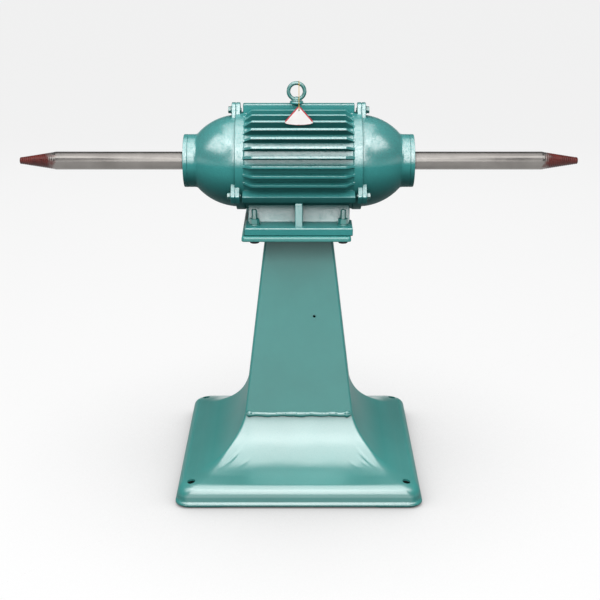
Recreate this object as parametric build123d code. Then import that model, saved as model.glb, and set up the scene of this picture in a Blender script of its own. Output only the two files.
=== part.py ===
from build123d import *
import math
import os

# Pedestal polishing motor: a double-ended spindle motor on a flared stand.
# Millimetres. The origin is on the floor under the middle of the stand, +X runs along the spindle,
# +Z is up, and the front of the machine looks towards -Y.

# Fits and clearances
seat_fit = 0.02
running_gap = 0.1
bolt_clearance = 0.5
ball_gap = 0.15
card_gap = 0.5

# Spindle
axis_height = 813.0
spindle_length = 1400.0
spindle_dia = 45.0
spindle_core_dia = 56.0
taper_length = 91.0
taper_tip_dia = 17.0
tip_round = 2.0
thread_pitch = 5.0
thread_depth = 1.2
thread_mouth = 4.0
thread_floor = 0.8
thread_margin = 6.0
relief_width = 3.0
relief_depth = 1.0

# Ball bearings
bearing_dia = 100.0
bearing_width = 25.0
ball_dia = 17.462
ball_circle = 72.5
ball_count = 8
race_lip = 11.3
cage_width = 20.6
cage_thickness = 4.5
spring_thickness = 2.5

# Motor frame
frame_length = 311.0
frame_bore = 208.0
frame_core_dia = 240.0
end_ring_dia = 244.0
end_ring_width = 22.5
root_sink = 3.0

# Fins and rails of the frame
fin_dia = 278.0
fin_tip = 5.0
fin_root = 9.0
fin_end_slope = 16.0
rail_count = 3
fins_per_sector = 12
fins_between_rails = 10
rail_dia = 288.0
rail_width = 20.0
rail_end_gap = 6.5

# Lugs and end shield bolts
lug_dia = 291.0
lug_width = 30.0
lug_round = 5.0
frame_lug = 11.0
shield_lug = 10.5
lug_bolt_circle = 256.0
lug_bolt_dia = 10.0
lug_bolt_across = 16.0
lug_bolt_head = 6.4
lug_bolt_tip = 3.0
lug_washer_dia = 20.0
lug_washer = 2.5

# Feet of the frame
foot_drop = 156.0
foot_thickness = 20.0
foot_length = 264.0
foot_front = 148.0
foot_inner = 64.0
web_length = 252.0
web_foot = 20.0
web_top_outer = 66.0
web_top_inner = 46.0
rib_width = 18.5
rib_inset = 17.0
rib_top_y = 121.0
rib_top_drop = 80.0
foot_bolt_x = 218.0
foot_bolt_y = 230.0
foot_bolt_dia = 14.0
foot_bolt_across = 22.0
foot_bolt_head = 12.5
foot_bolt_spare = 23.0
foot_bolt_edge = 1.5
foot_nut = 12.0
foot_washer_dia = 30.0
foot_washer = 3.0

# Lifting eye
eye_x = -5.5
eye_boss_dia = 34.0
eye_boss_top = 150.0
eye_ring_dia = 40.0
eye_bar_dia = 9.5
eye_collar_dia = 26.0
eye_collar = 4.0
eye_shank_dia = 12.0
eye_shank = 24.0

# End shields
shield_dia = 230.0
shield_length = 100.5
dome_bulge = 11.0
inner_bulge = 12.0
boss_dia = 132.0
boss_length = 20.0
spigot_depth = 6.0
spigot_wall = 7.0
hub_wall = 12.0
hub_reach = 9.0

# Bearing caps and their screws
cap_thickness = 11.0
cap_edge = 1.5
cap_spigot_wall = 8.0
cap_spigot = 8.5
cap_screw_circle = 115.0
cap_screw_count = 3
cap_screw_dia = 6.0
cap_head_dia = 10.0
cap_head = 6.0
inner_cap = 12.0
inner_cap_gap = 2.0
seal_dia = 62.0
seal_depth = 8.0
seal_lip = 3.0

# Stator and rotor
core_length = 160.0
air_gap = 0.5
rotor_dia = 119.0
slot_count = 24
slot_width = 8.0
slot_depth = 22.0
slot_gap = 0.3
winding_reach = 34.0
winding_spread = 6.0
end_ring_wall = 16.0
end_ring_length = 12.0
vane_count = 8
vane_length = 16.0
vane_thickness = 4.0

# Terminal box on the rear of the frame
pad_length = 110.0
pad_height = 96.0
pad_face = 146.0
lead_hole_dia = 30.0
box_length = 126.0
box_height = 112.0
box_depth = 52.0
box_wall = 4.0
box_boss_dia = 12.0
box_boss_inset = 8.0
box_screw_dia = 5.0
box_screw_head = 9.0
box_screw_head_height = 3.5
box_screw_grip = 14.0
box_fix_x = 92.0
box_fix_z = 72.0
gasket_thickness = 2.0
lid_thickness = 5.0
block_length = 72.0
block_height = 34.0
block_depth = 16.0
block_drop = 30.0
stud_dia = 5.0
stud_height = 14.0
stud_pitch = 22.0
stud_rows = 16.0
stud_nut_across = 8.0
stud_nut = 4.0
gland_drop = 20.0
gland_bore = 16.0
gland_neck_dia = 24.0
gland_across = 30.0
gland_hex = 9.0
gland_nut_dia = 27.0
gland_nut = 16.0
gland_round = 4.0

# Stand
base_size = 609.0
base_corner = 33.0
rim_bottom = 5.0
rim_round = 30.0
lip_out = 4.5
lip_height = 9.0
sheet = 6.0
shoulder_width = 42.5
slope_start_height = 60.5
slope_angle = 14.5
cove_bulge = 25.0
rim_width = 64.5
weld_height = 182.0
weld_half = 138.6
column_top_half = 83.0
weld_bead_dia = 8.0
anchor_inset = 35.5
anchor_dia = 20.0
pad_size = 130.0
pad_inset = 1.5
column_hole_dia = 7.0
column_hole_x = 39.0
column_hole_height = 436.0

# Top plate of the stand
plate_length = 268.0
plate_width = 310.0
plate_thickness = 13.0
plate_shift = -6.0
plate_corner = 6.0
plate_edge = 2.5

# Hang tag on its string
tag_offset = 6.0
tag_apex = 66.0
tag_reach = 125.0
tag_half_width = 38.5
tag_corner = 6.0
tag_thickness = 1.0
tag_hole_dia = 5.0
tag_hole_drop = 9.0
string_dia = 1.6
string_wrap = 300.0
string_bend = 2.4
string_tail = 3.0
knot_dia = 6.4
knot_length = 4.0
knot_round = 1.5
string_gap = 0.4

# Worked-out places, with the motor's axis as the origin of its own pieces
frame_half = frame_length / 2
fin_half = frame_half - end_ring_width
rail_half = frame_half - frame_lug - rail_end_gap
sector = 360 / rail_count
fin_pitch = sector / fins_per_sector
first_fin = (sector - (fins_between_rails - 1) * fin_pitch) / 2
fin_angles = [first_fin + index * fin_pitch for index in range(fins_between_rails)]
boss_start = frame_half + shield_length
cap_face = boss_start + boss_length
bearing_outer = cap_face - cap_spigot
bearing_inner = bearing_outer - bearing_width
bearing_centre = (bearing_inner + bearing_outer) / 2
ball_radius = ball_dia / 2
foot_bottom = axis_height - foot_drop
column_top = foot_bottom - plate_thickness
base_half = base_size / 2
slope_start_half = base_half - shoulder_width
skirt_half = base_half - rim_width
anchor_half = base_half - anchor_inset
eye_ring_height = eye_boss_top + eye_collar + eye_ring_dia / 2
box_floor = pad_face + box_wall
box_mouth = pad_face + box_depth
tall = 2 * axis_height


def turned(points):
    """A solid turned about the X axis from a closed outline of (x, radius) points."""
    return revolve(make_face(Polyline(*points, close=True)), Axis.X)


def rod(dia, x0, x1):
    """A round bar along X."""
    return Pos((x0 + x1) / 2, 0, 0) * Rot(Y=90) * Cylinder(dia / 2, x1 - x0)


def hexagon_x(across, x0, x1):
    """A hexagon bar along X."""
    return Pos(x0, 0, 0) * extrude(Plane.YZ * RegularPolygon(across / 2, 6, major_radius=False), x1 - x0)


def block(x0, x1, y0, y1, z0, z1):
    """A box between two corners."""
    return Pos((x0 + x1) / 2, (y0 + y1) / 2, (z0 + z1) / 2) * Box(x1 - x0, y1 - y0, z1 - z0)


def round_x(shape, angles):
    """Copies of a shape turned about the X axis."""
    return [Rot(X=angle) * shape for angle in angles]


def joined(shapes):
    """The separate solids of several shapes as one group."""
    return Compound(children=[solid for shape in shapes for solid in shape.solids()])


def left_of(shape):
    """The same piece on the left end of the machine."""
    return mirror(shape, about=Plane.YZ)


sector_angles = [index * sector for index in range(rail_count)]
foot_bolt_places = [
    (x, y) for x in (-foot_bolt_x / 2, foot_bolt_x / 2) for y in (-foot_bolt_y / 2, foot_bolt_y / 2)
]
anchor_places = [(x, y) for x in (-anchor_half, anchor_half) for y in (-anchor_half, anchor_half)]


def make_spindle():
    """The shaft: a thick middle between the bearings, two straight ends and two tapered screw points."""
    end = spindle_length / 2
    shoulder = end - taper_length
    thin, thick, tip = spindle_dia / 2, spindle_core_dia / 2, taper_tip_dia / 2
    fall = (thin - tip) / (taper_length - tip_round)
    half = [(0, thick), (bearing_inner, thick), (bearing_inner, thin)]
    # A relief groove parts the bearing seat from the free end
    relief = cap_face + cap_thickness + seal_lip
    groove = thin - relief_depth
    half += [(relief, thin), (relief, groove), (relief + relief_width, groove), (relief + relief_width, thin)]
    half.append((shoulder, thin))
    # The screw is drawn as one ring groove for each turn
    turns = int((taper_length - tip_round - 2 * thread_margin) / thread_pitch)
    for index in range(turns + 1):
        middle = shoulder + thread_margin + index * thread_pitch
        for place, depth in ((-thread_mouth, 0), (-thread_floor, 1), (thread_floor, 1), (thread_mouth, 0)):
            x = middle + place / 2
            half.append((x, thin - fall * (x - shoulder) - depth * thread_depth))
    half += [(end - tip_round, tip), (end, tip - tip_round), (end, 0)]
    return turned([(-x, r) for x, r in reversed(half)] + half[1:])


def make_bearing():
    """The right bearing: outer race, inner race, balls and cage, about the X axis."""
    groove = Pos(bearing_centre, 0, 0) * Rot(Y=90) * Torus(ball_circle / 2, ball_radius + ball_gap)
    bore = spindle_dia / 2 + seat_fit
    lip = ball_circle / 2 - race_lip / 2
    x0, x1 = bearing_inner, bearing_outer
    inner = turned([(x0, bore), (x1, bore), (x1, lip), (x0, lip)]) - groove
    lip = ball_circle / 2 + race_lip / 2
    rim = bearing_dia / 2
    outer = turned([(x0, lip), (x1, lip), (x1, rim), (x0, rim)]) - groove
    places = [index * 360 / ball_count for index in range(ball_count)]
    at_top = Pos(bearing_centre, 0, ball_circle / 2)
    balls = round_x(at_top * Sphere(ball_radius), places)
    pockets = round_x(at_top * Sphere(ball_radius + ball_gap), places)
    low = (ball_circle - cage_thickness) / 2
    high = (ball_circle + cage_thickness) / 2
    side = cage_width / 2
    cage = turned(
        [
            (bearing_centre - side, low),
            (bearing_centre + side, low),
            (bearing_centre + side, high),
            (bearing_centre - side, high),
        ]
    )
    return outer, inner, joined(balls), cage - pockets


def make_shield():
    """The right end shield: a domed bell with a bearing hub, a locating spigot and three lugs."""
    bell = frame_half
    spigot = frame_bore / 2 - seat_fit
    inside = spigot - spigot_wall
    spigot_end = bell - spigot_depth
    hub_bore = bearing_dia / 2 + seat_fit
    hub = hub_bore + hub_wall
    hub_end = bearing_inner - spring_thickness - inner_cap_gap
    outline = [
        Polyline((bell, inside), (spigot_end, inside), (spigot_end, spigot), (bell, spigot)),
        Line((bell, spigot), (bell, shield_dia / 2)),
        SagittaArc((bell, shield_dia / 2), (boss_start, boss_dia / 2), dome_bulge),
        Polyline(
            (boss_start, boss_dia / 2),
            (cap_face, boss_dia / 2),
            (cap_face, hub_bore),
            (hub_end, hub_bore),
            (hub_end, hub),
            (hub_end + hub_reach, hub),
        ),
        SagittaArc((hub_end + hub_reach, hub), (bell, inside), -inner_bulge),
    ]
    shell = revolve(make_face(outline), Axis.X)
    root = shield_dia / 2 - root_sink
    lug = block(bell, bell + shield_lug, -lug_width / 2, lug_width / 2, root, lug_dia / 2)
    lug = fillet(lug.edges().filter_by(Axis.X).group_by(Axis.Z)[-1], lug_round)
    shield = shell + round_x(lug, sector_angles)
    hole = Pos(0, 0, lug_bolt_circle / 2) * rod(lug_bolt_dia + 2 * bolt_clearance, bell, bell + shield_lug)
    screw_hole = Pos(0, 0, cap_screw_circle / 2) * rod(cap_screw_dia + bolt_clearance, hub_end, cap_face)
    return shield - round_x(hole, sector_angles) - round_x(screw_hole, cap_screw_angles())


def cap_screw_angles():
    """Angles of the cap screws, between the lugs."""
    return [sector / 2 + index * 360 / cap_screw_count for index in range(cap_screw_count)]


def make_outer_cap():
    """The right outer bearing cap, with a spigot that holds the outer race and a seat for the seal."""
    hole = spindle_dia / 2 + bolt_clearance
    spigot = bearing_dia / 2 - seat_fit
    face = cap_face + cap_thickness
    rim = boss_dia / 2
    seat = seal_dia / 2
    cap = turned(
        [
            (bearing_outer, spigot - cap_spigot_wall),
            (bearing_outer, spigot),
            (cap_face, spigot),
            (cap_face, rim),
            (face - cap_edge, rim),
            (face, rim - cap_edge),
            (face, seat),
            (face - seal_depth, seat),
            (face - seal_depth, hole),
            (cap_face, hole),
            (cap_face, spigot - cap_spigot_wall),
        ]
    )
    bore = rod(cap_screw_dia + bolt_clearance, cap_face, face)
    sink = rod(cap_head_dia + 2 * bolt_clearance, face - cap_head - bolt_clearance, face)
    return cap - round_x(Pos(0, 0, cap_screw_circle / 2) * (bore + sink), cap_screw_angles())


def make_inner_cap(race_gap):
    """The right inner bearing cap, tapped for the cap screws; race_gap leaves room for a spring."""
    back = bearing_inner - spring_thickness - inner_cap_gap
    spigot = bearing_dia / 2 - seat_fit
    rim = bearing_dia / 2 + hub_wall
    hole = spindle_core_dia / 2 + inner_cap_gap
    cap = turned(
        [
            (back - inner_cap, hole),
            (back, hole),
            (back, spigot - cap_spigot_wall),
            (bearing_inner - race_gap, spigot - cap_spigot_wall),
            (bearing_inner - race_gap, spigot),
            (back, spigot),
            (back, rim),
            (back - inner_cap, rim),
        ]
    )
    tapped = rod(cap_screw_dia + 2 * seat_fit, back - inner_cap, back)
    return cap - round_x(Pos(0, 0, cap_screw_circle / 2) * tapped, cap_screw_angles())


def make_cap_screws():
    """Long screws that pull the two caps together through the right end shield."""
    back = bearing_inner - spring_thickness - inner_cap_gap
    seat = cap_face + cap_thickness - cap_head - bolt_clearance
    screw = rod(cap_screw_dia, back - inner_cap, seat) + rod(cap_head_dia, seat, seat + cap_head)
    return joined(round_x(Pos(0, 0, cap_screw_circle / 2) * screw, cap_screw_angles()))


def make_seal():
    """The right seal ring, with a lip that stands out of the cap."""
    inner = spindle_dia / 2 + running_gap
    outer = seal_dia / 2 - seat_fit
    face = cap_face + cap_thickness
    lip = (inner + outer) / 2
    return turned(
        [
            (face - seal_depth, inner),
            (face + seal_lip, inner),
            (face + seal_lip, lip - seal_lip / 2),
            (face, lip),
            (face, outer),
            (face - seal_depth, outer),
        ]
    )


def make_shield_bolts():
    """Hexagon bolts of the right end shield and the washers under their heads."""
    seat = frame_half + shield_lug
    head = seat + lug_washer
    tip = frame_half - frame_lug - lug_bolt_tip
    bolt = rod(lug_bolt_dia, tip, head) + hexagon_x(lug_bolt_across, head, head + lug_bolt_head)
    washer = rod(lug_washer_dia, seat, head) - rod(lug_bolt_dia + bolt_clearance, seat, head)
    out = Pos(0, 0, lug_bolt_circle / 2)
    return joined(round_x(out * bolt, sector_angles)), joined(round_x(out * washer, sector_angles))


def make_fin():
    """One cooling fin, standing up, with sloping ends and drafted sides."""
    root, low, high = frame_core_dia / 2 - root_sink, end_ring_dia / 2, fin_dia / 2
    side = Polyline(
        (-fin_half, root),
        (fin_half, root),
        (fin_half, low),
        (fin_half - fin_end_slope, high),
        (fin_end_slope - fin_half, high),
        (-fin_half, low),
        close=True,
    )
    across = Polyline(
        (-fin_root / 2, root), (fin_root / 2, root), (fin_tip / 2, high), (-fin_tip / 2, high), close=True
    )
    length_way = extrude(Plane.XZ * make_face(side), fin_root, both=True)
    return length_way & extrude(Plane.YZ * make_face(across), frame_length, both=True)


def make_foot():
    """The front foot with its sloping web and middle rib, below the motor's axis."""
    top = foot_thickness - foot_drop
    half = foot_length / 2
    web_top = -math.sqrt((frame_core_dia / 2 - root_sink) ** 2 - web_top_outer**2)
    plate = block(-half, half, -foot_front, -foot_inner, -foot_drop, top)
    web = Polyline(
        (-foot_inner - web_foot, top),
        (-web_top_outer, web_top),
        (-web_top_inner, web_top),
        (-foot_inner, top),
        close=True,
    )
    rib = Polyline(
        (rib_inset - foot_front, top),
        (-rib_top_y, -rib_top_drop),
        (-web_top_outer, web_top),
        (-foot_inner - web_foot, top),
        close=True,
    )
    web_solid = extrude(Plane.YZ * make_face(web), web_length / 2, both=True)
    rib_solid = extrude(Plane.YZ * make_face(rib), rib_width / 2, both=True)
    return plate + web_solid + rib_solid


def make_frame():
    """The cast frame: shell, end rings, fins, rails, lugs, feet, eye boss and terminal box pad."""
    bore, core, ring = frame_bore / 2, frame_core_dia / 2, end_ring_dia / 2
    shell = turned(
        [
            (-frame_half, bore),
            (frame_half, bore),
            (frame_half, ring),
            (fin_half, ring),
            (fin_half, core),
            (-fin_half, core),
            (-fin_half, ring),
            (-frame_half, ring),
        ]
    )
    root = core - root_sink
    rail = block(-rail_half, rail_half, -rail_width / 2, rail_width / 2, root, rail_dia / 2)
    lug = block(frame_half - frame_lug, frame_half, -lug_width / 2, lug_width / 2, root, lug_dia / 2)
    lug = fillet(lug.edges().filter_by(Axis.X).group_by(Axis.Z)[-1], lug_round)
    fins = round_x(make_fin(), fin_angles + [-angle for angle in fin_angles])
    foot = make_foot()
    boss = Pos(eye_x, 0, (root + eye_boss_top) / 2) * Cylinder(eye_boss_dia / 2, eye_boss_top - root)
    pad = block(-pad_length / 2, pad_length / 2, bore - root_sink, pad_face, -pad_height / 2, pad_height / 2)
    pieces = [foot, mirror(foot, about=Plane.XZ), boss, pad]
    pieces += round_x(rail, sector_angles) + round_x(lug, sector_angles)
    pieces += round_x(left_of(lug), sector_angles)
    frame = shell + pieces + fins - rod(frame_bore, -frame_half, frame_half)
    tapped = Pos(0, 0, lug_bolt_circle / 2) * rod(lug_bolt_dia + 2 * seat_fit, -frame_half, frame_half)
    clear = block(-rail_half, rail_half, -lug_width, lug_width, bore, lug_dia)
    cuts = round_x(tapped - clear, sector_angles)
    eye_hole = Cylinder(eye_shank_dia / 2 + seat_fit, eye_shank)
    cuts.append(Pos(eye_x, 0, eye_boss_top - eye_shank / 2) * eye_hole)
    lead_hole = Rot(X=90) * Cylinder(lead_hole_dia / 2, pad_face)
    cuts.append(Pos(0, pad_face / 2 + root_sink, 0) * lead_hole)
    fix_hole = Rot(X=90) * Cylinder(box_screw_dia / 2 + seat_fit, box_screw_grip)
    cuts += [Pos(x, pad_face - box_screw_grip / 2, z) * fix_hole for x, z in box_fix_places()]
    through = Cylinder(foot_bolt_dia / 2 + bolt_clearance, foot_thickness)
    middle = foot_thickness / 2 - foot_drop
    cuts += [Pos(x, y, middle) * through for x, y in foot_bolt_places]
    return frame - cuts


def box_fix_places():
    """Places of the screws that hold the terminal box to its pad."""
    return [(x, z) for x in (-box_fix_x / 2, box_fix_x / 2) for z in (-box_fix_z / 2, box_fix_z / 2)]


def make_eye():
    """The lifting eye: ring, collar and screwed shank."""
    ring = Pos(eye_x, 0, eye_ring_height) * Rot(X=90) * Torus(eye_ring_dia / 2, eye_bar_dia / 2)
    collar = Pos(eye_x, 0, eye_boss_top + eye_collar / 2) * Cylinder(eye_collar_dia / 2, eye_collar)
    shank = Pos(eye_x, 0, eye_boss_top - eye_shank / 2) * Cylinder(eye_shank_dia / 2, eye_shank)
    return collar + ring + shank


def make_stator():
    """The slotted stator core and its winding."""
    slot_low = rotor_dia / 2 + air_gap
    slot_high = slot_low + slot_depth
    rim = frame_bore / 2 - seat_fit
    slots = PolarLocations((slot_low + slot_high) / 2 - air_gap, slot_count)
    sketch = Circle(rim) - Circle(slot_low) - slots * Rectangle(slot_depth + 2 * air_gap, slot_width)
    core = extrude(Plane.YZ * sketch, core_length / 2, both=True)
    bars = Sketch() + slots * Rectangle(slot_depth - 2 * slot_gap, slot_width - 2 * slot_gap)
    conductors = extrude(Plane.YZ * bars, core_length / 2 + winding_spread, both=True)
    x0 = core_length / 2 + slot_gap
    x1 = core_length / 2 + winding_reach
    coil = [(x0, slot_low + winding_spread), (x1, slot_low + 2 * winding_spread)]
    coil += [(x1, slot_high), (x0, slot_high)]
    end_turns = turned(coil)
    return core, conductors + [end_turns, left_of(end_turns)]


def make_rotor():
    """The rotor core and the cast end rings with their vanes."""
    half = core_length / 2
    bore, rim = spindle_core_dia / 2 + seat_fit, rotor_dia / 2
    core = turned([(-half, bore), (half, bore), (half, rim), (-half, rim)])
    low = rim - end_ring_wall - air_gap
    high = rim - air_gap
    x1 = half + end_ring_length
    ring = turned([(half, low), (x1, low), (x1, high), (half, high)])
    side = vane_thickness / 2
    vane = block(x1 - air_gap, x1 + vane_length, -side, side, low + air_gap, high - air_gap)
    vaned = ring + round_x(vane, [index * 360 / vane_count for index in range(vane_count)])
    return core, joined([vaned, left_of(vaned)])


def make_terminal_box():
    """The box behind the frame: tray, gasket, lid and lid screws."""
    half_x, half_z = box_length / 2, box_height / 2
    tray = block(-half_x, half_x, pad_face, box_mouth, -half_z, half_z)
    in_x, in_z = half_x - box_wall, half_z - box_wall
    tray -= block(-in_x, in_x, box_floor, box_mouth, -in_z, in_z)
    at_x, at_z = half_x - box_boss_inset, half_z - box_boss_inset
    corners = [(x, z) for x in (-at_x, at_x) for z in (-at_z, at_z)]

    def along_y(dia, y0, y1):
        return Pos(0, (y0 + y1) / 2, 0) * Rot(X=90) * Cylinder(dia / 2, y1 - y0)

    def at_corners(shape):
        return [Pos(x, 0, z) * shape for x, z in corners]

    lid_seat = box_mouth + gasket_thickness
    lid_face = lid_seat + lid_thickness
    tapped = along_y(box_screw_dia + 2 * seat_fit, box_mouth - box_screw_grip, box_mouth)
    clear_gasket = along_y(box_screw_dia + bolt_clearance, box_mouth, lid_seat)
    clear_lid = along_y(box_screw_dia + bolt_clearance, lid_seat, lid_face)
    tray += at_corners(along_y(box_boss_dia, box_floor, box_mouth))
    tray -= at_corners(tapped)
    tray -= along_y(lead_hole_dia, pad_face, box_floor)
    fix_clear = along_y(box_screw_dia + bolt_clearance, pad_face, box_floor)
    tray -= [Pos(x, 0, z) * fix_clear for x, z in box_fix_places()]
    tray -= gland_place() * rod(gland_neck_dia + 2 * seat_fit, in_x, half_x)
    gasket = block(-half_x, half_x, box_mouth, lid_seat, -half_z, half_z)
    gasket -= block(-in_x, in_x, box_mouth, lid_seat, -in_z, in_z)
    gasket += at_corners(along_y(box_boss_dia, box_mouth, lid_seat))
    gasket -= at_corners(clear_gasket)
    lid = block(-half_x, half_x, lid_seat, lid_face, -half_z, half_z)
    lid = fillet(lid.edges().group_by(Axis.Y)[-1], lid_thickness / 2) - at_corners(clear_lid)
    screw = along_y(box_screw_dia, box_mouth - box_screw_grip, lid_face)
    screw += along_y(box_screw_head, lid_face, lid_face + box_screw_head_height)
    fix_screw = along_y(box_screw_dia, pad_face - box_screw_grip, box_floor)
    fix_screw += along_y(box_screw_head, box_floor, box_floor + box_screw_head_height)
    fixings = [Pos(x, 0, z) * fix_screw for x, z in box_fix_places()]
    return tray, gasket, lid, joined(at_corners(screw)), joined(fixings)


def make_terminal_block():
    """The terminal block on the floor of the box, with six studs and their nuts."""
    z0 = -block_drop - block_height / 2
    face = box_floor + block_depth
    body = block(-block_length / 2, block_length / 2, box_floor, face, z0, z0 + block_height)
    stud = Pos(0, face + stud_height / 2, 0) * Rot(X=90) * Cylinder(stud_dia / 2, stud_height)
    nut = extrude(Plane.XZ * RegularPolygon(stud_nut_across / 2, 6, major_radius=False), -stud_nut)
    stud += Pos(0, face, 0) * nut
    places = [(index * stud_pitch, row) for index in (-1, 0, 1) for row in (-stud_rows / 2, stud_rows / 2)]
    return body, joined([Pos(x, 0, z0 + block_height / 2 + z) * stud for x, z in places])


def make_gland():
    """The cable gland on the right wall of the terminal box, with its bore."""
    wall = box_length / 2
    hex_end = wall + gland_hex
    tip = hex_end + gland_nut
    nut = rod(gland_nut_dia, hex_end, tip)
    nut = fillet(nut.edges().filter_by(GeomType.CIRCLE).group_by(Axis.X)[-1], gland_round)
    body = rod(gland_neck_dia, wall - box_wall, wall) + hexagon_x(gland_across, wall, hex_end) + nut
    return gland_place() * (body - rod(gland_bore, wall - box_wall, tip))


def gland_place():
    """Where the gland's axis lies in the box."""
    return Pos(0, (box_floor + box_mouth) / 2, -gland_drop)


def stand_face(bottom, top):
    """The stand's outline in front view, between two heights, with the column's taper carried on."""
    taper = (weld_half - column_top_half) / (column_top - weld_height)
    top_half = weld_half - taper * (top - weld_height)
    fall = (base_half - slope_start_half) * math.tan(math.radians(slope_angle))
    corner = (base_half, slope_start_height - fall)

    def side(sign):
        cove_ends = ((sign * slope_start_half, slope_start_height), (sign * weld_half, weld_height))
        return [
            Polyline((sign * base_half, bottom), (sign * corner[0], corner[1]), cove_ends[0]),
            SagittaArc(*cove_ends, sign * cove_bulge),
            Line(cove_ends[1], (sign * top_half, top)),
        ]

    edges = side(1) + [Line((top_half, top), (-top_half, top))] + side(-1)
    edges.append(Line((-base_half, bottom), (base_half, bottom)))
    face = make_face(edges)
    corners = face.vertices().filter_by(lambda v: abs(abs(v.X) - base_half) < seat_fit and v.Y > bottom)
    return fillet(corners, rim_round)


def square_tower(face, half, corner):
    """The solid whose front view and side view are both the given outline, with round corners in plan."""
    both = extrude(Plane.XZ * face, base_size, both=True) & extrude(Plane.YZ * face, base_size, both=True)
    return both & Pos(0, 0, -tall / 2) * extrude(RectangleRounded(2 * half, 2 * half, corner), 2 * tall)


def quarter(angle):
    """A tall wedge over the front quarter of the plan, turned about the stand's middle."""
    reach = 2 * base_size
    wedge = make_face(Polyline((0, 0), (reach, -reach), (-reach, -reach), close=True))
    return Rot(Z=angle) * extrude(wedge, tall)


def make_stand():
    """The sheets, rim and welds of the stand."""
    outer = square_tower(stand_face(rim_bottom, column_top), base_half, base_corner)
    hollow_face = offset(stand_face(-base_size, tall / 2), -sheet, kind=Kind.INTERSECTION)
    hollow = square_tower(hollow_face, base_half - sheet, base_corner - sheet)
    shell = outer - hollow
    middle = Pos(0, 0, tall / 2) * Box(2 * skirt_half, 2 * skirt_half, tall)
    rim = shell - middle
    lip_shape = RectangleRounded(base_size + 2 * lip_out, base_size + 2 * lip_out, base_corner + lip_out)
    lip_shape -= RectangleRounded(base_size - sheet, base_size - sheet, base_corner - sheet / 2)
    rim += Pos(0, 0, rim_bottom) * extrude(lip_shape, lip_height)
    rim -= [Pos(x, y, 0) * Cylinder(anchor_dia / 2, base_size) for x, y in anchor_places]
    walls = shell & middle
    low = Pos(0, 0, weld_height / 2) * Box(base_size, base_size, weld_height)
    front = walls & quarter(0)
    rear = walls & quarter(180)
    hole = Pos(column_hole_x, -weld_half, column_hole_height) * Rot(X=90)
    hole *= Cylinder(column_hole_dia / 2, 2 * weld_half)
    bead = Pos(0, -weld_half, weld_height) * rod(weld_bead_dia, sheet - weld_half, weld_half - sheet) - outer
    return {
        "base_rim": rim,
        "left_side_sheet": walls & quarter(-90),
        "right_side_sheet": walls & quarter(90),
        "front_skirt": front & low,
        "rear_skirt": rear & low,
        "column_front_sheet": front - low - hole,
        "column_rear_sheet": rear - low,
        "weld_beads": joined([bead, mirror(bead, about=Plane.XZ)]),
    }


def make_corner_pads():
    """Four pads under the corners of the rim, drilled for the anchor bolts."""
    edge = base_half - pad_inset
    centre = edge - pad_size / 2
    corner = base_corner - pad_inset
    pads = []
    for x, y in anchor_places:
        turn_x, turn_y = math.copysign(1, x), math.copysign(1, y)
        plan = Pos(turn_x * centre, turn_y * centre) * RectangleRounded(pad_size, pad_size, corner)
        plan -= Pos(x, y) * Circle(anchor_dia / 2)
        pads.append(extrude(plan, rim_bottom))
    return joined(pads)


def make_top_plate():
    """The plate on top of the column, drilled for the foot bolts."""
    plan = Pos(plate_shift, 0) * RectangleRounded(plate_length, plate_width, plate_corner)
    plate = extrude(plan, plate_thickness)
    edges = plate.edges().group_by(Axis.Z)
    plate = fillet(edges[0] + edges[-1], plate_edge)
    hole = Pos(0, 0, plate_thickness / 2) * Cylinder(foot_bolt_dia / 2 + bolt_clearance, plate_thickness)
    plate -= [Pos(x, y, 0) * hole for x, y in foot_bolt_places]
    return Pos(0, 0, column_top) * plate


def make_foot_fasteners():
    """Bolts from under the top plate, with washers and nuts on the feet."""
    foot_top = foot_bottom + foot_thickness
    nut_seat = foot_top + foot_washer
    bolt_top = nut_seat + foot_nut + foot_bolt_spare
    shank = Pos(0, 0, (column_top + bolt_top) / 2) * Cylinder(foot_bolt_dia / 2, bolt_top - column_top)
    shank = chamfer(shank.edges().filter_by(GeomType.CIRCLE).group_by(Axis.Z)[-1], foot_bolt_edge)
    plan = RegularPolygon(foot_bolt_across / 2, 6, major_radius=False)
    bolt = shank + Pos(0, 0, column_top - foot_bolt_head) * extrude(plan, foot_bolt_head)
    ring = Circle(foot_washer_dia / 2) - Circle(foot_bolt_dia / 2 + bolt_clearance)
    washer = Pos(0, 0, foot_top) * extrude(ring, foot_washer)
    nut = Pos(0, 0, nut_seat) * extrude(plan - Circle(foot_bolt_dia / 2 + seat_fit), foot_nut)
    return [joined([Pos(x, y, 0) * shape for x, y in foot_bolt_places]) for shape in (bolt, washer, nut)]


def tag_pivot():
    """The middle of the eye's bar where the string goes round it."""
    rise = math.sqrt((eye_ring_dia / 2) ** 2 - tag_offset**2)
    return Vector(eye_x + tag_offset, 0, eye_ring_height + rise)


def tag_lean():
    """The lean from upright at which the card rests on the front fins, in degrees."""
    pivot = tag_pivot()
    leans = []
    for angle in fin_angles:
        for edge in (-fin_tip / 2, fin_tip / 2):
            turn = math.radians(angle)
            y = edge * math.cos(turn) - fin_dia / 2 * math.sin(turn)
            z = edge * math.sin(turn) + fin_dia / 2 * math.cos(turn)
            away = math.hypot(y, pivot.Z - z)
            if away < tag_reach:
                clear = math.asin((tag_thickness / 2 + card_gap) / away)
                leans.append(math.degrees(math.atan2(-y, pivot.Z - z) + clear))
    return max(leans)


def tag_plane():
    """The plane of the card: local X across, local Y up the string, normal out to the front."""
    lean = math.radians(tag_lean())
    return Plane(origin=tag_pivot(), x_dir=(1, 0, 0), z_dir=(0, -math.cos(lean), math.sin(lean)))


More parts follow.
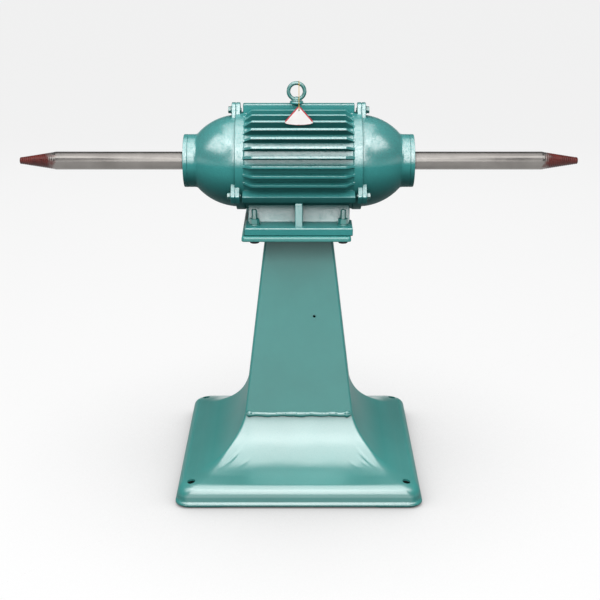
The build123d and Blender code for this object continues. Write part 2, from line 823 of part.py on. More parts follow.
def make_tag():
    """The three-cornered card with its string hole."""
    corners = [(0, -tag_apex), (tag_half_width, -tag_reach), (-tag_half_width, -tag_reach)]
    card = make_face(Polyline(*corners, close=True))
    card = fillet(card.vertices(), tag_corner)
    hole_at = tag_apex + tag_corner + tag_hole_drop
    card -= Pos(0, -hole_at) * Circle(tag_hole_dia / 2)
    return tag_plane() * Pos(0, 0, -tag_thickness / 2) * extrude(card, tag_thickness)


def make_string():
    """The string: tied round the eye's bar, straight down to the card and through its hole to a knot."""
    thread = string_dia / 2
    bar = eye_bar_dia / 2 * eye_ring_dia / (2 * (tag_pivot().Z - eye_ring_height))
    wrap = bar + string_gap + thread
    front = tag_thickness / 2 + string_gap + thread
    hole_at = tag_apex + tag_corner + tag_hole_drop
    # In the upright plane of the string: first coordinate out to the front, second up the string
    reach = math.hypot(front, hole_at)
    touch = math.degrees(math.atan2(front, hole_at) + math.acos(wrap / reach)) - 90

    def on_bar(angle):
        return (wrap * math.cos(math.radians(angle)), wrap * math.sin(math.radians(angle)))

    loop = ThreePointArc(on_bar(touch + string_wrap), on_bar(touch + string_wrap / 2), on_bar(touch))
    tail_end = -tag_thickness / 2 - string_tail
    strand = FilletPolyline(on_bar(touch), (front, -hole_at), (tail_end, -hole_at), radius=string_bend)
    route = Wire([loop] + list(strand.edges()))
    section = Plane(origin=route @ 0, z_dir=route % 0) * Circle(thread)
    tube = sweep(section, path=route)
    length = route.length
    print("string length", round(length, 1), "radii", round(wrap, 2), string_bend)
    print("string volume", round(tube.volume, 2), "from its length", round(math.pi * thread**2 * length, 2))
    knot = Rot(Y=90) * Cylinder(knot_dia / 2, knot_length)
    knot = fillet(knot.edges().filter_by(GeomType.CIRCLE), knot_round)
    knot = Pos(tail_end - knot_length / 2, -hole_at, 0) * knot
    plane = tag_plane()
    upright = Plane(origin=plane.origin, x_dir=plane.z_dir, z_dir=plane.z_dir.cross(plane.y_dir))
    return upright * (tube + knot)


def make_all():
    """Every node by name."""
    nodes = make_stand()
    nodes["corner_pads"] = make_corner_pads()
    nodes["top_plate"] = make_top_plate()
    nodes["foot_bolts"], nodes["foot_washers"], nodes["foot_nuts"] = make_foot_fasteners()

    motor = {"motor_frame": make_frame(), "spindle": make_spindle(), "lifting_eye": make_eye()}
    outer_race, inner_race, balls, cage = make_bearing()
    bolts, washers = make_shield_bolts()
    right = {
        "end_shield": make_shield(),
        "shield_bolts": bolts,
        "outer_cap": make_outer_cap(),
        "cap_screws": make_cap_screws(),
        "shaft_seal": make_seal(),
        "outer_race": outer_race,
        "inner_race": inner_race,
        "ball_set": balls,
        "ball_cage": cage,
    }
    for name, shape in right.items():
        motor["right_" + name] = shape
        motor["left_" + name] = left_of(shape)
    motor["right_inner_cap"] = make_inner_cap(spring_thickness)
    motor["left_inner_cap"] = left_of(make_inner_cap(0))
    rim = bearing_dia / 2 - seat_fit
    low = rim - cap_spigot_wall
    x0, x1 = bearing_inner - spring_thickness, bearing_inner
    motor["bearing_spring"] = turned([(x0, low), (x1, low), (x1, rim), (x0, rim)])
    motor["shield_washers"] = joined([washers, left_of(washers)])
    motor["stator_core"], motor["stator_winding"] = make_stator()
    motor["rotor_core"], motor["rotor_end_rings"] = make_rotor()
    box = ("terminal_box", "box_gasket", "box_lid", "lid_screws", "box_screws")
    motor.update(zip(box, make_terminal_box()))
    motor["terminal_block"], motor["terminal_studs"] = make_terminal_block()
    motor["cable_gland"] = make_gland()
    motor["hang_tag"] = make_tag()
    motor["tag_string"] = make_string()
    for name, shape in motor.items():
        nodes[name] = Pos(0, 0, axis_height) * shape
    return nodes


os.makedirs("parts", exist_ok=True)
for node, solid in make_all().items():
    export_step(solid, os.path.join("parts", node + ".step"))
pivot = tag_pivot()
print("tag pivot", round(pivot.X, 3), round(pivot.Z + axis_height, 3), "lean", round(tag_lean(), 3))
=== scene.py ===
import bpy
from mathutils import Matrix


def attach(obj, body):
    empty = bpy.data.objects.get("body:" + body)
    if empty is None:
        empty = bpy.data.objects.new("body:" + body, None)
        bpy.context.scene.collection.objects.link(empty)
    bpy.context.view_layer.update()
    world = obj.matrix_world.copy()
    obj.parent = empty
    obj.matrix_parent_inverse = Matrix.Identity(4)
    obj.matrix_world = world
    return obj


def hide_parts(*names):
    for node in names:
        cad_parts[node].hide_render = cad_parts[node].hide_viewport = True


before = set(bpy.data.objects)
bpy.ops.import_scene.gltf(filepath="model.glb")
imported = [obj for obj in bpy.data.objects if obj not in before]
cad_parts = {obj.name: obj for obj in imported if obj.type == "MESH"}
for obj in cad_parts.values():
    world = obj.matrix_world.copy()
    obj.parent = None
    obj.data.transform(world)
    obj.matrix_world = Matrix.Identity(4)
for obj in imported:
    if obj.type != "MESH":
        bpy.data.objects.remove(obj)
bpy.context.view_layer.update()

from functools import partialmethod
from math import acos, atan2, cos, exp, hypot, pi, radians, sin, tan

import bmesh
import bpy
from mathutils import Matrix, Vector, noise

# Sizes are in millimetres and turn into metres when a piece is made.
# Motor pieces are drawn about the spindle's axis and lifted to its height.
MM = 0.001
AXIS = 813.0
SEAM = 155.5  # from the middle to where an end shield meets the frame
CORE = 120.0  # radius of the frame between its fins
RING = 122.0  # radius of the frame's end rings
FIN_TIP = 139.0
RAIL_TIP = 144.0
LUG_TIP = 145.5
FIN_PITCH = 120.0 / 12
FINS = 10  # on the front, and as many on the rear
SECTORS = (0.0, 120.0, 240.0)
BOLT_CIRCLE = 128.0  # radius at which the shield bolts stand
EYE_X = -5.5
WELD = 182.0  # height of the welds across the stand
COLUMN_TOP = 644.0
BODY = "stand_and_motor"
CREASE = 38.0  # degrees from which an edge stays sharp
SHEET_CREASE = 55.0


# Plain geometry: every maker gives (points, faces)

def join(*parts):
    points, faces = [], []
    for part_points, part_faces in parts:
        start = len(points)
        points += [Vector(p) for p in part_points]
        faces += [tuple(i + start for i in f) for f in part_faces]
    return points, faces


def moved(part, matrix):
    return [matrix @ Vector(p) for p in part[0]], part[1]


def shifted(part, x, y, z):
    return moved(part, Matrix.Translation((x, y, z)))


def turned(part, degrees, axis):
    return moved(part, Matrix.Rotation(radians(degrees), 4, axis))


def flipped(part):
    """The same part on the left end of the machine."""
    return [Vector((-p[0], p[1], p[2])) for p in part[0]], part[1]


def all_round(part):
    """Three of a part, one in each sector about X."""
    return join(*[turned(part, angle, "X") for angle in SECTORS])


def circle(steps):
    return [2 * pi * i / steps for i in range(steps)]


def loft(rings, loop=False):
    """A skin over rings with equally many points, closed by two caps or into a loop."""
    count = len(rings[0])
    points = [Vector(p) for ring in rings for p in ring]
    faces = []
    for i in range(len(rings) if loop else len(rings) - 1):
        a, b = i * count, ((i + 1) % len(rings)) * count
        for j in range(count):
            k = (j + 1) % count
            faces.append((a + j, a + k, b + k, b + j))
    if not loop:
        last = (len(rings) - 1) * count
        faces.append(tuple(range(count - 1, -1, -1)))
        faces.append(tuple(range(last, last + count)))
    return points, faces


def lathe(profile, steps):
    """A closed section of (x, radius) points turned about X."""
    turns = circle(steps)
    return loft([[(x, r * sin(t), r * cos(t)) for t in turns] for x, r in profile], loop=True)


def lathe_z(profile, steps, loop=False):
    """A line of (radius, z) points turned about Z."""
    turns = circle(steps)
    return loft([[(r * cos(t), r * sin(t), z) for t in turns] for r, z in profile], loop)


def swept(centre, first, last, steps):
    """Points round a centre, from its first arm to its last."""
    sweep = first.angle_signed(last)
    return [tuple(centre + Matrix.Rotation(-sweep * k / steps, 2) @ first) for k in range(steps + 1)]


def arc(start, end, bulge, steps):
    """Points on an arc from start to end; a positive bulge swells to the left of the way."""
    a, b = Vector(start), Vector(end)
    chord = b - a
    left = Vector((-chord.y, chord.x)).normalized()
    half = chord.length / 2
    radius = (half * half + bulge * bulge) / (2 * bulge)
    centre = (a + b) / 2 + left * (bulge - radius)
    return swept(centre, a - centre, b - centre, steps)


def rounded(corners, radius, steps=4):
    """A closed outline with its corners rounded by one radius, or by a list of them."""
    out = []
    count = len(corners)
    radii = radius if isinstance(radius, list) else [radius] * count
    for i, r in enumerate(radii):
        here = Vector(corners[i])
        before = (Vector(corners[i - 1]) - here).normalized()
        after = (Vector(corners[(i + 1) % count]) - here).normalized()
        half = before.angle(after) / 2
        middle = here + (before + after).normalized() * r / sin(half)
        first = here + before * r / tan(half) - middle
        last = here + after * r / tan(half) - middle
        out += swept(middle, first, last, steps)
    return out


def box_outline(x0, x1, y0, y1, radius, steps=4):
    return rounded([(x0, y0), (x1, y0), (x1, y1), (x0, y1)], radius, steps)


def shrunk(outline, amount):
    """An outline drawn in by an even amount."""
    count = len(outline)
    area = sum(a[0] * b[1] - b[0] * a[1] for a, b in zip(outline[-1:] + outline[:-1], outline))
    side = 1 if area > 0 else -1
    out = []
    for i, p in enumerate(outline):
        along = Vector(outline[(i + 1) % count]) - Vector(outline[i - 1])
        inward = Vector((-along.y, along.x)).normalized() * side
        out.append(tuple(Vector(p) + inward * amount))
    return out


def edge_row(outline, level, edge, share):
    """One row of a rounded edge, from the side wall at share 0 to the end face at share 1."""
    a = pi / 2 * share
    row = shrunk(outline, abs(edge) * (1 - cos(a)))
    return [(x, y, level + edge * (1 - sin(a))) for x, y in row]


def soft_block(outline, low, high, edge, steps=3, top_edge=None):
    """An outline in the XY plane raised from low to high, with its end edges rounded."""
    rings = [edge_row(outline, low, edge, 1 - k / steps) for k in range(steps + 1)]
    rings += [edge_row(outline, high, -(top_edge or edge), k / steps) for k in range(steps + 1)]
    return loft(rings)


# Stand an XY outline up, so that it is raised along X or along Y
ALONG_X = Matrix(((0, 0, 1, 0), (1, 0, 0, 0), (0, 1, 0, 0), (0, 0, 0, 1)))
ALONG_Y = Matrix(((1, 0, 0, 0), (0, 0, 1, 0), (0, 1, 0, 0), (0, 0, 0, 1)))


def hexagon(across, height, bevel_top=True, bevel_bottom=False, bore=0.0):
    """A hexagon head or nut along Z from 0, with the turned chamfer that leaves scalloped flats."""
    flat = across / 2
    face, corner = flat * 0.95, flat * 1.135
    steep, blunt, lead = tan(radians(28)), 0.15, 0.9
    turns = circle(48)
    reach = [flat / cos((t + pi / 6) % (pi / 3) - pi / 6) for t in turns]
    reach = [min(r, corner) for r in reach]

    def even(r, z):
        return [(r * cos(t), r * sin(t), z) for t in turns]

    def chamfer(bevelled, end, way):
        drops = [(r - face) * steep if bevelled else blunt for r in reach]
        return [(r * cos(t), r * sin(t), end + way * d) for r, t, d in zip(reach, turns, drops)]

    rings = [even(face, 0.0), chamfer(bevel_bottom, 0.0, 1)]
    rings += [chamfer(bevel_top, height, -1), even(face, height)]
    if bore:
        rings += [even(bore + lead, height), even(bore, height - lead), even(bore, 0.0)]
    return loft(rings, loop=bool(bore))


def screw_thread(radius, depth, pitch, low, high):
    """A threaded stud end along Z with a chamfered tip."""
    steps, rows_per_turn = 32, 8
    rows = int((high - low) / pitch * rows_per_turn)
    rings = []
    for i in range(rows + 1):
        z = low + (high - low) * i / rows
        tip = min(1.0, (high - z) / (1.8 * depth))
        ring = []
        for j, t in enumerate(circle(steps)):
            wave = abs(((z / pitch - j / steps) % 1.0) * 2 - 1)
            r = min(radius - depth * wave, radius - depth * 1.4 * (1 - tip))
            ring.append((r * cos(t), r * sin(t), z))
        rings.append(ring)
    return loft(rings)


def ripple(x, y, z, scale, seed):
    """Smooth unevenness, the same on every run."""
    return noise.noise(Vector((x * scale + seed, y * scale - seed, z * scale)))


# Turning geometry into pieces

def linked(name, data):
    obj = bpy.data.objects.new(name, data)
    bpy.context.scene.collection.objects.link(obj)
    return obj


def apply_modifier(obj, modifier):
    with bpy.context.temp_override(object=obj, active_object=obj, selected_objects=[obj]):
        bpy.ops.object.modifier_apply(modifier=modifier.name)


def shade(obj, crease):
    """Smooth shading that keeps flat faces flat right up to their rounded edges."""
    obj.data.shade_smooth()
    obj.data.set_sharp_from_angle(angle=radians(crease))
    even = obj.modifiers.new("even_shading", "WEIGHTED_NORMAL")
    even.mode = "FACE_AREA_WITH_ANGLE"
    even.keep_sharp = True
    apply_modifier(obj, even)


def make_piece(name, part, material, nodes, body=BODY, crease=CREASE, lift=0.0):
    """A piece that rides on a body and stands in for CAD nodes."""
    points, faces = part
    mesh = bpy.data.meshes.new(name)
    mesh.from_pydata([(p[0] * MM, p[1] * MM, (p[2] + lift) * MM) for p in points], [], faces)
    work = bmesh.new()
    work.from_mesh(mesh)
    bmesh.ops.remove_doubles(work, verts=work.verts, dist=1e-6)
    bmesh.ops.recalc_face_normals(work, faces=work.faces)
    work.to_mesh(mesh)
    work.free()
    obj = linked(name, mesh)
    shade(obj, crease)
    obj.data.materials.append(material)
    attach(obj, body)
    if nodes:
        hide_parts(*nodes)
    return obj


def motor_piece(name, part, material, node):
    """A fixed piece that is drawn about the spindle's axis."""
    return make_piece(name, part, material, [node], lift=AXIS)


def drilled(obj, cutters):
    for points, faces in cutters:
        mesh = bpy.data.meshes.new("drill")
        mesh.from_pydata([tuple(Vector(p) * MM) for p in points], [], faces)
        drill = linked("drill", mesh)
        cut = obj.modifiers.new("hole", "BOOLEAN")
        cut.operation = "DIFFERENCE"
        cut.solver = "EXACT"
        cut.object = drill
        apply_modifier(obj, cut)
        bpy.data.objects.remove(drill)
        bpy.data.meshes.remove(mesh)
    shade(obj, CREASE)


def second_material(obj, material, chosen):
    """Gives a second material to the faces whose middle, in millimetres, is chosen."""
    obj.data.materials.append(material)
    for polygon in obj.data.polygons:
        polygon.material_index = 1 if chosen(polygon.center / MM) else 0


# Shader groups

class Net:
    """The nodes of one material or group, with short ways to add and join them."""

    def __init__(self, tree):
        self.nodes, self.links = tree.nodes, tree.links

    def feed(self, socket, source):
        """Joins a node's output to a socket, or sets the socket to a plain value."""
        if isinstance(source, bpy.types.NodeSocket):
            self.links.new(source, socket)
        else:
            socket.default_value = source

    def fill(self, sockets, sources):
        for label, source in sources.items():
            self.feed(sockets[label], source)

    def add(self, kind, **inputs):
        node = self.nodes.new("ShaderNode" + kind)
        self.fill(node.inputs, inputs)
        return node

    def calc(self, operation, *sources, clamp=False):
        node = self.add("Math")
        node.operation = operation
        node.use_clamp = clamp
        for socket, source in zip(node.inputs, sources):
            self.feed(socket, source)
        return node.outputs[0]

    plus = partialmethod(calc, "ADD")
    minus = partialmethod(calc, "SUBTRACT")
    times = partialmethod(calc, "MULTIPLY")

    def noise(self, where, scale, detail, rough=0.5):
        node = self.add("TexNoise", Vector=where, Scale=scale, Detail=detail, Roughness=rough)
        return node.outputs["Fac"]

    def ramp(self, source, low, high):
        """A blend between two (place, colour) stops, where a plain number is a grey."""
        node = self.add("ValToRGB")
        self.feed(node.inputs[0], source)
        for element, (at, colour) in zip(node.color_ramp.elements, (low, high)):
            element.position = at
            element.color = (*colour, 1.0) if isinstance(colour, tuple) else (colour, colour, colour, 1.0)
        return node.outputs[0]

    def mix(self, share, first, second):
        node = self.add("Mix")
        node.data_type = "RGBA"
        self.fill(node.inputs, {"Factor": share, "A": first, "B": second})
        return node.outputs["Result"]

    def group(self, group, **values):
        """The outputs of a group that is placed with its own values."""
        node = self.add("Group")
        node.node_tree = group
        self.fill(node.inputs, values)
        return node.outputs

    def bump(self, height, distance, strength):
        return self.add("Bump", Height=height, Distance=distance, Strength=strength).outputs["Normal"]


def node_group(name, inputs, outputs):
    """An empty group of number sockets, with its net and the sockets inside it."""
    group = bpy.data.node_groups.new(name, "ShaderNodeTree")
    for label, value in inputs.items():
        socket = group.interface.new_socket(label, in_out="INPUT", socket_type="NodeSocketFloat")
        socket.default_value = value
    for label in outputs:
        group.interface.new_socket(label, in_out="OUTPUT", socket_type="NodeSocketFloat")
    net = Net(group)
    given, out = net.nodes.new("NodeGroupInput"), net.nodes.new("NodeGroupOutput")
    return group, net, given.outputs, out.inputs


def film_height(net, where, given):
    """Orange peel, the skin of a casting and scattered dust nibs."""
    peel = net.times(net.noise(where, 260.0, 2.0), given["Peel"])
    casting = net.times(net.noise(where, 120.0, 5.0, 0.62), given["Casting"])
    cells = net.add("TexVoronoi", Vector=where, Scale=95.0, Randomness=1.0)
    spot = net.ramp(cells.outputs["Distance"], (0.0, 1.0), (0.075, 0.0))
    gate = net.ramp(net.noise(where, 7.0, 2.0), (0.5, 0.0), (0.62, 1.0))
    nib = net.times(net.times(spot, gate), given["Nibs"])
    return net.plus(net.plus(peel, casting), nib)


def film_wetness(net, facing, given):
    """Dry on undersides, and duller where the surface faces sideways."""
    raised = net.plus(facing["Z"], given["Rise"])
    up = net.times(raised, 5.0, clamp=True)
    sideways = net.minus(net.calc("ABSOLUTE", facing["X"]), 0.12)
    aside = net.times(sideways, 3.0, clamp=True)
    dull = net.times(net.times(aside, 0.85), given["Sides"])
    return net.times(up, net.minus(1.0, dull))


def hidden_nooks(net, normal):
    """1 where little of the space above a surface is open, 0 where nearly all of it is."""
    tilted = net.add("VectorMath")
    net.feed(tilted.inputs[0], normal)
    net.feed(tilted.inputs[1], (0.0, 0.0, 0.8))
    skyward = net.add("VectorMath")
    skyward.operation = "NORMALIZE"
    net.feed(skyward.inputs[0], tilted.outputs["Vector"])
    nook = net.add("AmbientOcclusion", Distance=0.07, Normal=skyward.outputs["Vector"])
    nook.samples = 6
    clear = net.minus(nook.outputs["AO"], 0.25)
    return net.minus(1.0, net.times(clear, 1.6, clamp=True))


def paint_film_group():
    """Sprayed enamel: its relief, its cloudiness, where its coat is wet, and a painted light and shade mask
    that darkens its colour in nooks and on undersides.
    """
    inputs = {"Peel": 1.0, "Nibs": 1.0, "Casting": 0.0, "Mottle": 0.1, "Film": 1.0}
    inputs |= {"Sides": 0.0, "Nooks": 0.3, "Rise": 0.084, "Shade": 0.8}
    outputs = ("Height", "Cloud", "Wet coat", "Sprayed", "Painted light")
    group, net, given, out = node_group("paint_film", inputs, outputs)
    spots = net.add("TexCoord").outputs
    where, normal = spots["Object"], spots["Normal"]
    facing = net.add("SeparateXYZ", Vector=normal).outputs
    wet = film_wetness(net, facing, given)
    hidden = hidden_nooks(net, normal)
    reached = net.times(wet, net.minus(1.0, net.times(hidden, given["Nooks"])))
    specks = net.ramp(net.noise(where, 330.0, 2.0, 0.6), (0.46, 0.0), (0.66, 1.0))
    film = net.minus(given["Film"], net.times(specks, given["Mottle"]), clamp=True)
    # Painted shade: these masks darken the base colour where the space above is closed in and where the
    # surface faces down, standing in for the shadow of overhead light.
    painted_overhead_light = net.minus(1.0, net.times(hidden, given["Shade"]))
    lit = net.times(net.plus(facing["Z"], 0.65), 1.8, clamp=True)
    net.fill(out, {
        "Height": film_height(net, where, given),
        "Cloud": net.noise(where, 5.0, 4.0, 0.6),
        "Wet coat": net.times(reached, film),
        "Sprayed": wet,
        "Painted light": net.times(painted_overhead_light, lit),
    })
    return group


def turned_lines_group():
    """Fine tool marks round a turned or ground bar that lies along X."""
    group, net, given, out = node_group("turned_lines", {"Spacing": 1400.0}, ("Height", "Smear"))
    where = net.add("TexCoord").outputs["Object"]
    stretch = net.add("Mapping", Vector=where, Scale=(1.0, 0.012, 0.012))
    net.feed(out["Height"], net.noise(stretch.outputs["Vector"], given["Spacing"], 3.0))
    net.feed(out["Smear"], net.noise(where, 14.0, 5.0))
    return group


def grain_group():
    """Small even grain for rubber, plastic, card and cast metal."""
    group, net, given, out = node_group("small_grain", {"Size": 500.0}, ("Height", "Patch"))
    where = net.add("TexCoord").outputs["Object"]
    net.feed(out["Height"], net.noise(where, given["Size"], 4.0))
    net.feed(out["Patch"], net.noise(where, 24.0, 3.0))
    return group


PAINT_FILM = paint_film_group()
TURNED_LINES = turned_lines_group()
SMALL_GRAIN = grain_group()


# Materials

def new_material(name):
    """A material with its net and the inputs of its main shader."""
    material = bpy.data.materials.new(name)
    material.use_nodes = True
    net = Net(material.node_tree)
    return material, net, net.nodes["Principled BSDF"].inputs


def painted_shade_tone(colour):
    """The darker tone of a paint, used as its painted shade in nooks and on undersides."""
    return tuple(0.35 * part for part in colour)


def enamel(name, dark, light, roughness=(0.13, 0.2), gloss=0.14, mirror=1.9, under=1.45, **film):
    """Gloss enamel between two shades: gloss and mirror are its coat's roughness and IOR, under is the IOR
    below the coat, and film holds inputs of the paint film that differ from its own. The base colour
    blends into a painted shade in nooks and on undersides."""
    material, net, shader = new_material(name)
    coat = net.group(PAINT_FILM, **film)
    cloud = coat["Cloud"]
    # Painted shade: a darker copy of the paint, mixed in where the film's mask says light would not reach.
    painted_shade_tint = net.ramp(cloud, (0.3, painted_shade_tone(dark)), (0.72, painted_shade_tone(light)))
    plain_tint = net.ramp(cloud, (0.3, dark), (0.72, light))
    even = net.ramp(cloud, (0.25, roughness[0]), (0.8, roughness[1]))
    dry = net.minus(1.0, coat["Sprayed"])
    net.fill(shader, {
        "Base Color": net.mix(coat["Painted light"], painted_shade_tint, plain_tint),
        "Roughness": net.plus(even, net.times(dry, 0.3)),
        "IOR": under,
        "Coat Weight": coat["Wet coat"],
        "Coat Roughness": gloss,
        "Coat IOR": mirror,
        "Normal": net.bump(coat["Height"], 0.0006, 0.35),
    })
    return material


def bare_metal(name, dark, light, roughness, spacing=1400.0, metallic=1.0):
    material, net, shader = new_material(name)
    lines = net.group(TURNED_LINES, Spacing=spacing)
    net.fill(shader, {
        "Base Color": net.ramp(lines["Smear"], (0.3, dark), (0.7, light)),
        "Roughness": net.ramp(lines["Smear"], (0.25, roughness[0]), (0.8, roughness[1])),
        "Metallic": metallic,
        "Normal": net.bump(lines["Height"], 0.00008, 0.25),
    })
    return material


def grained(name, dark, light, size, roughness, depth=0.0002, metallic=0.0):
    material, net, shader = new_material(name)
    grain = net.group(SMALL_GRAIN, Size=size)
    net.fill(shader, {
        "Base Color": net.ramp(grain["Patch"], (0.3, dark), (0.7, light)),
        "Roughness": net.ramp(grain["Height"], (0.3, roughness[0]), (0.7, roughness[1])),
        "Metallic": metallic,
        "Specular IOR Level": 0.3,
        "Normal": net.bump(grain["Height"], depth, 0.5),
    })
    return material


def spindle_steel():
    """Ground steel, with red-brown protective lacquer on the screw points that thins out unevenly."""
    lacquer_from, lacquer_wander = 0.613, 0.05  # metres along the spindle
    material, net, shader = new_material("spindle_steel")
    lines = net.group(TURNED_LINES, Spacing=1800.0)
    where = net.add("TexCoord").outputs["Object"]
    outward = net.calc("ABSOLUTE", net.add("SeparateXYZ", Vector=where).outputs["X"])
    patchy = net.noise(where, 55.0, 4.0)
    wander = net.times(net.minus(patchy, 0.5), lacquer_wander)
    past_edge = net.minus(net.plus(outward, wander), lacquer_from)
    lacquer = net.times(past_edge, 60.0, clamp=True)
    steel = net.ramp(lines["Smear"], (0.3, (0.22, 0.206, 0.194)), (0.7, (0.3, 0.284, 0.268)))
    brown = net.ramp(patchy, (0.3, (0.08, 0.009, 0.007)), (0.75, (0.17, 0.024, 0.017)))
    net.fill(shader, {
        "Base Color": net.mix(lacquer, steel, brown),
        "Metallic": net.times(net.minus(1.0, lacquer), 0.85),
        "Roughness": net.ramp(lines["Smear"], (0.25, 0.16), (0.8, 0.3)),
        "IOR": 1.35,
        "Coat Weight": net.times(lacquer, 0.12),
        "Coat Roughness": 0.1,
        "Normal": net.bump(lines["Height"], 0.00005, 0.2),
    })
    return material


TEAL = (0.05, 0.33, 0.302), (0.062, 0.385, 0.355)
TEAL_SHEET = enamel(
    "teal_enamel_on_sheet", *TEAL, roughness=(0.18, 0.25), gloss=0.19, mirror=1.75,
    Peel=0.6, Nibs=0.8, Sides=1.0, Nooks=0.9,
)
TEAL_FLARE = enamel(
    "teal_enamel_on_flare", *TEAL, roughness=(0.28, 0.36), gloss=0.28, mirror=2.8,
    Peel=0.6, Nibs=0.8, Sides=1.0,
)
TEAL_CAST = enamel(
    "teal_enamel_on_casting", (0.05, 0.314, 0.302), (0.062, 0.368, 0.356),
    roughness=(0.24, 0.34), gloss=0.25, mirror=3.3, under=1.25,
    Peel=2.0, Nibs=2.2, Casting=2.4, Mottle=0.6, Nooks=0.7, Rise=-0.05, Shade=0.55,
)
TEAL_SMALL = enamel(
    "teal_enamel_on_fasteners", (0.042, 0.255, 0.233), (0.054, 0.306, 0.281), gloss=0.2, mirror=2.5,
    Peel=0.5, Nibs=0.6, Casting=0.5,
)
TEAL_WELD = enamel("teal_enamel_on_weld", *TEAL, gloss=0.2, mirror=2.6, Casting=1.5)
TEAL_PADS = enamel(
    "teal_enamel_on_pads", (0.04, 0.24, 0.22), (0.052, 0.3, 0.275), roughness=(0.35, 0.5),
    Casting=1.5, Film=0.6,
)
SPINDLE = spindle_steel()
BLACK_STEEL = bare_metal(
    "blackened_steel", (0.01, 0.01, 0.011), (0.024, 0.024, 0.026), (0.5, 0.65), metallic=0.4
)
ZINC = bare_metal("zinc_plated_steel", (0.42, 0.43, 0.45), (0.6, 0.61, 0.62), (0.28, 0.45), spacing=900.0)
BEARING = bare_metal("bearing_steel", (0.55, 0.55, 0.56), (0.7, 0.7, 0.71), (0.1, 0.2))
BRASS = bare_metal("plain_brass", (0.45, 0.32, 0.12), (0.62, 0.47, 0.2), (0.22, 0.38))
CORE_STEEL = bare_metal(
    "stacked_sheet_steel", (0.16, 0.16, 0.17), (0.27, 0.27, 0.28), (0.35, 0.5), spacing=2000.0
)
ALLOY = grained("cast_aluminium", (0.5, 0.51, 0.52), (0.68, 0.69, 0.7), 300.0, (0.35, 0.5), metallic=1.0)
IRON = grained("cast_iron", (0.05, 0.05, 0.052), (0.1, 0.1, 0.104), 350.0, (0.5, 0.7), metallic=0.6)
COPPER = grained(
    "varnished_copper", (0.25, 0.07, 0.025), (0.45, 0.16, 0.06), 400.0, (0.25, 0.4), metallic=0.6
)
RUBBER = grained("black_rubber", (0.008, 0.008, 0.008), (0.02, 0.02, 0.021), 700.0, (0.45, 0.65))
BLACK_NYLON = grained("black_nylon", (0.012, 0.012, 0.013), (0.03, 0.03, 0.032), 900.0, (0.35, 0.5))
BROWN_MOULDING = grained("brown_moulding", (0.1, 0.035, 0.012), (0.17, 0.065, 0.025), 500.0, (0.2, 0.35))
CARD_GRAIN, CARD_RELIEF = 1800.0, 0.00005
CARD_WHITE = grained(
    "white_card", (0.65, 0.632, 0.622), (0.71, 0.692, 0.682), CARD_GRAIN, (0.6, 0.75), CARD_RELIEF
)
CARD_RED = grained(
    "red_card_border", (0.38, 0.014, 0.03), (0.46, 0.024, 0.042), CARD_GRAIN, (0.35, 0.5), CARD_RELIEF
)
YARN = grained("yellow_yarn", (0.5, 0.3, 0.02), (0.66, 0.42, 0.04), 2600.0, (0.7, 0.9), 0.0003)


# Motor frame casting

def radial_bar(half, stations, angle):
    """A bar along X that stands on the frame: half is its (sideways, outward) section, stations say how
    far out its crest reaches at each place along X and how much its section draws in there."""
    base, crest = half[2][1], max(r for t, r in half)
    rings = []
    for x, reach, inset in stations:
        side = []
        for t, r in half:
            if r > base:
                r = base + (r - base) * (reach - base) / (crest - base)
            side.append((max(t - inset, 0.2), r))
        section = side + [(-t, r) for t, r in reversed(side)]
        rings.append([(x, t, r) for t, r in section])
    return turned(loft(rings), angle, "X")


def both_ways(stations):
    return [(-x, r, i) for x, r, i in reversed(stations)] + stations


def fin(angle):
    half = [(5.8, 118.6), (4.6, 120.2), (4.1, RING), (3.1, 137.6), (2.9, 138.6), (2.3, FIN_TIP)]
    crest = [(112.0, FIN_TIP), (115.0, 138.5), (117.2, 137.0), (130.6, 125.4), (132.6, 123.8), (136.0, 122.6)]
    return radial_bar(half, both_ways([(x, r, 0) for x, r in crest]), angle)


def rail(angle):
    half = [(12.0, 118.4), (10.9, 120.2), (10.5, RING), (10.0, 140.6), (9.2, 143.1), (7.2, RAIL_TIP)]
    stations = [(135.8, RAIL_TIP, 0), (137.2, 143.7, 0.4), (137.9, 142.6, 1.4)]
    return radial_bar(half, both_ways(stations), angle)


def lug(angle, low, high):
    half = [(24.0, 108.0), (21.5, 117.5), (19.8, 122.5), (13.4, 140.0), (11.8, 143.8), (8.8, LUG_TIP)]
    end = [(0.1, 144.0, 1.3), (0.6, 145.0, 0.4), (1.6, LUG_TIP, 0)]
    stations = [(low + d, r, i) for d, r, i in end] + [(high - d, r, i) for d, r, i in reversed(end)]
    return radial_bar(half, stations, angle)


def foot_casting():
    """Front foot: plate, sloping web and middle rib."""
    plate_half, web_half, rib_half = 132, 126, 9.2
    plate = soft_block(box_outline(-148, -64, -156, -136, 3.0), -plate_half, plate_half, 2.4)
    web_line = rounded([(-84, -138), (-66, -90.5), (-48, -90.5), (-64, -138)], [1, 2, 2, 1])
    web = soft_block(web_line, -web_half, web_half, 2.0)
    rib_line = rounded([(-131, -138), (-120.5, -80), (-40, -80), (-60, -138)], [1, 5, 1, 1])
    rib = soft_block(rib_line, -rib_half, rib_half, 1.8)
    return moved(join(plate, web, rib), ALONG_X)


def frame_shell():
    half = [(0.0, CORE), (130.4, CORE), (131.8, 120.2), (132.6, 120.6), (133.4, 121.4), (134.4, 121.9)]
    half += [(136.0, RING), (154.4, RING), (155.2, 121.6), (SEAM, 120.8), (SEAM, 104.0)]
    return lathe([(-x, r) for x, r in reversed(half)] + half[1:], 144)


def eye_boss():
    stem = [(9.4, 111), (9.4, 138.6), (10.6, 140.6), (14.6, 142.2), (16.4, 143.8), (17, 146), (16.5, 148.8)]
    return shifted(lathe_z(stem + [(15.4, 150), (0.5, 150)], 64), EYE_X, 0, 0)


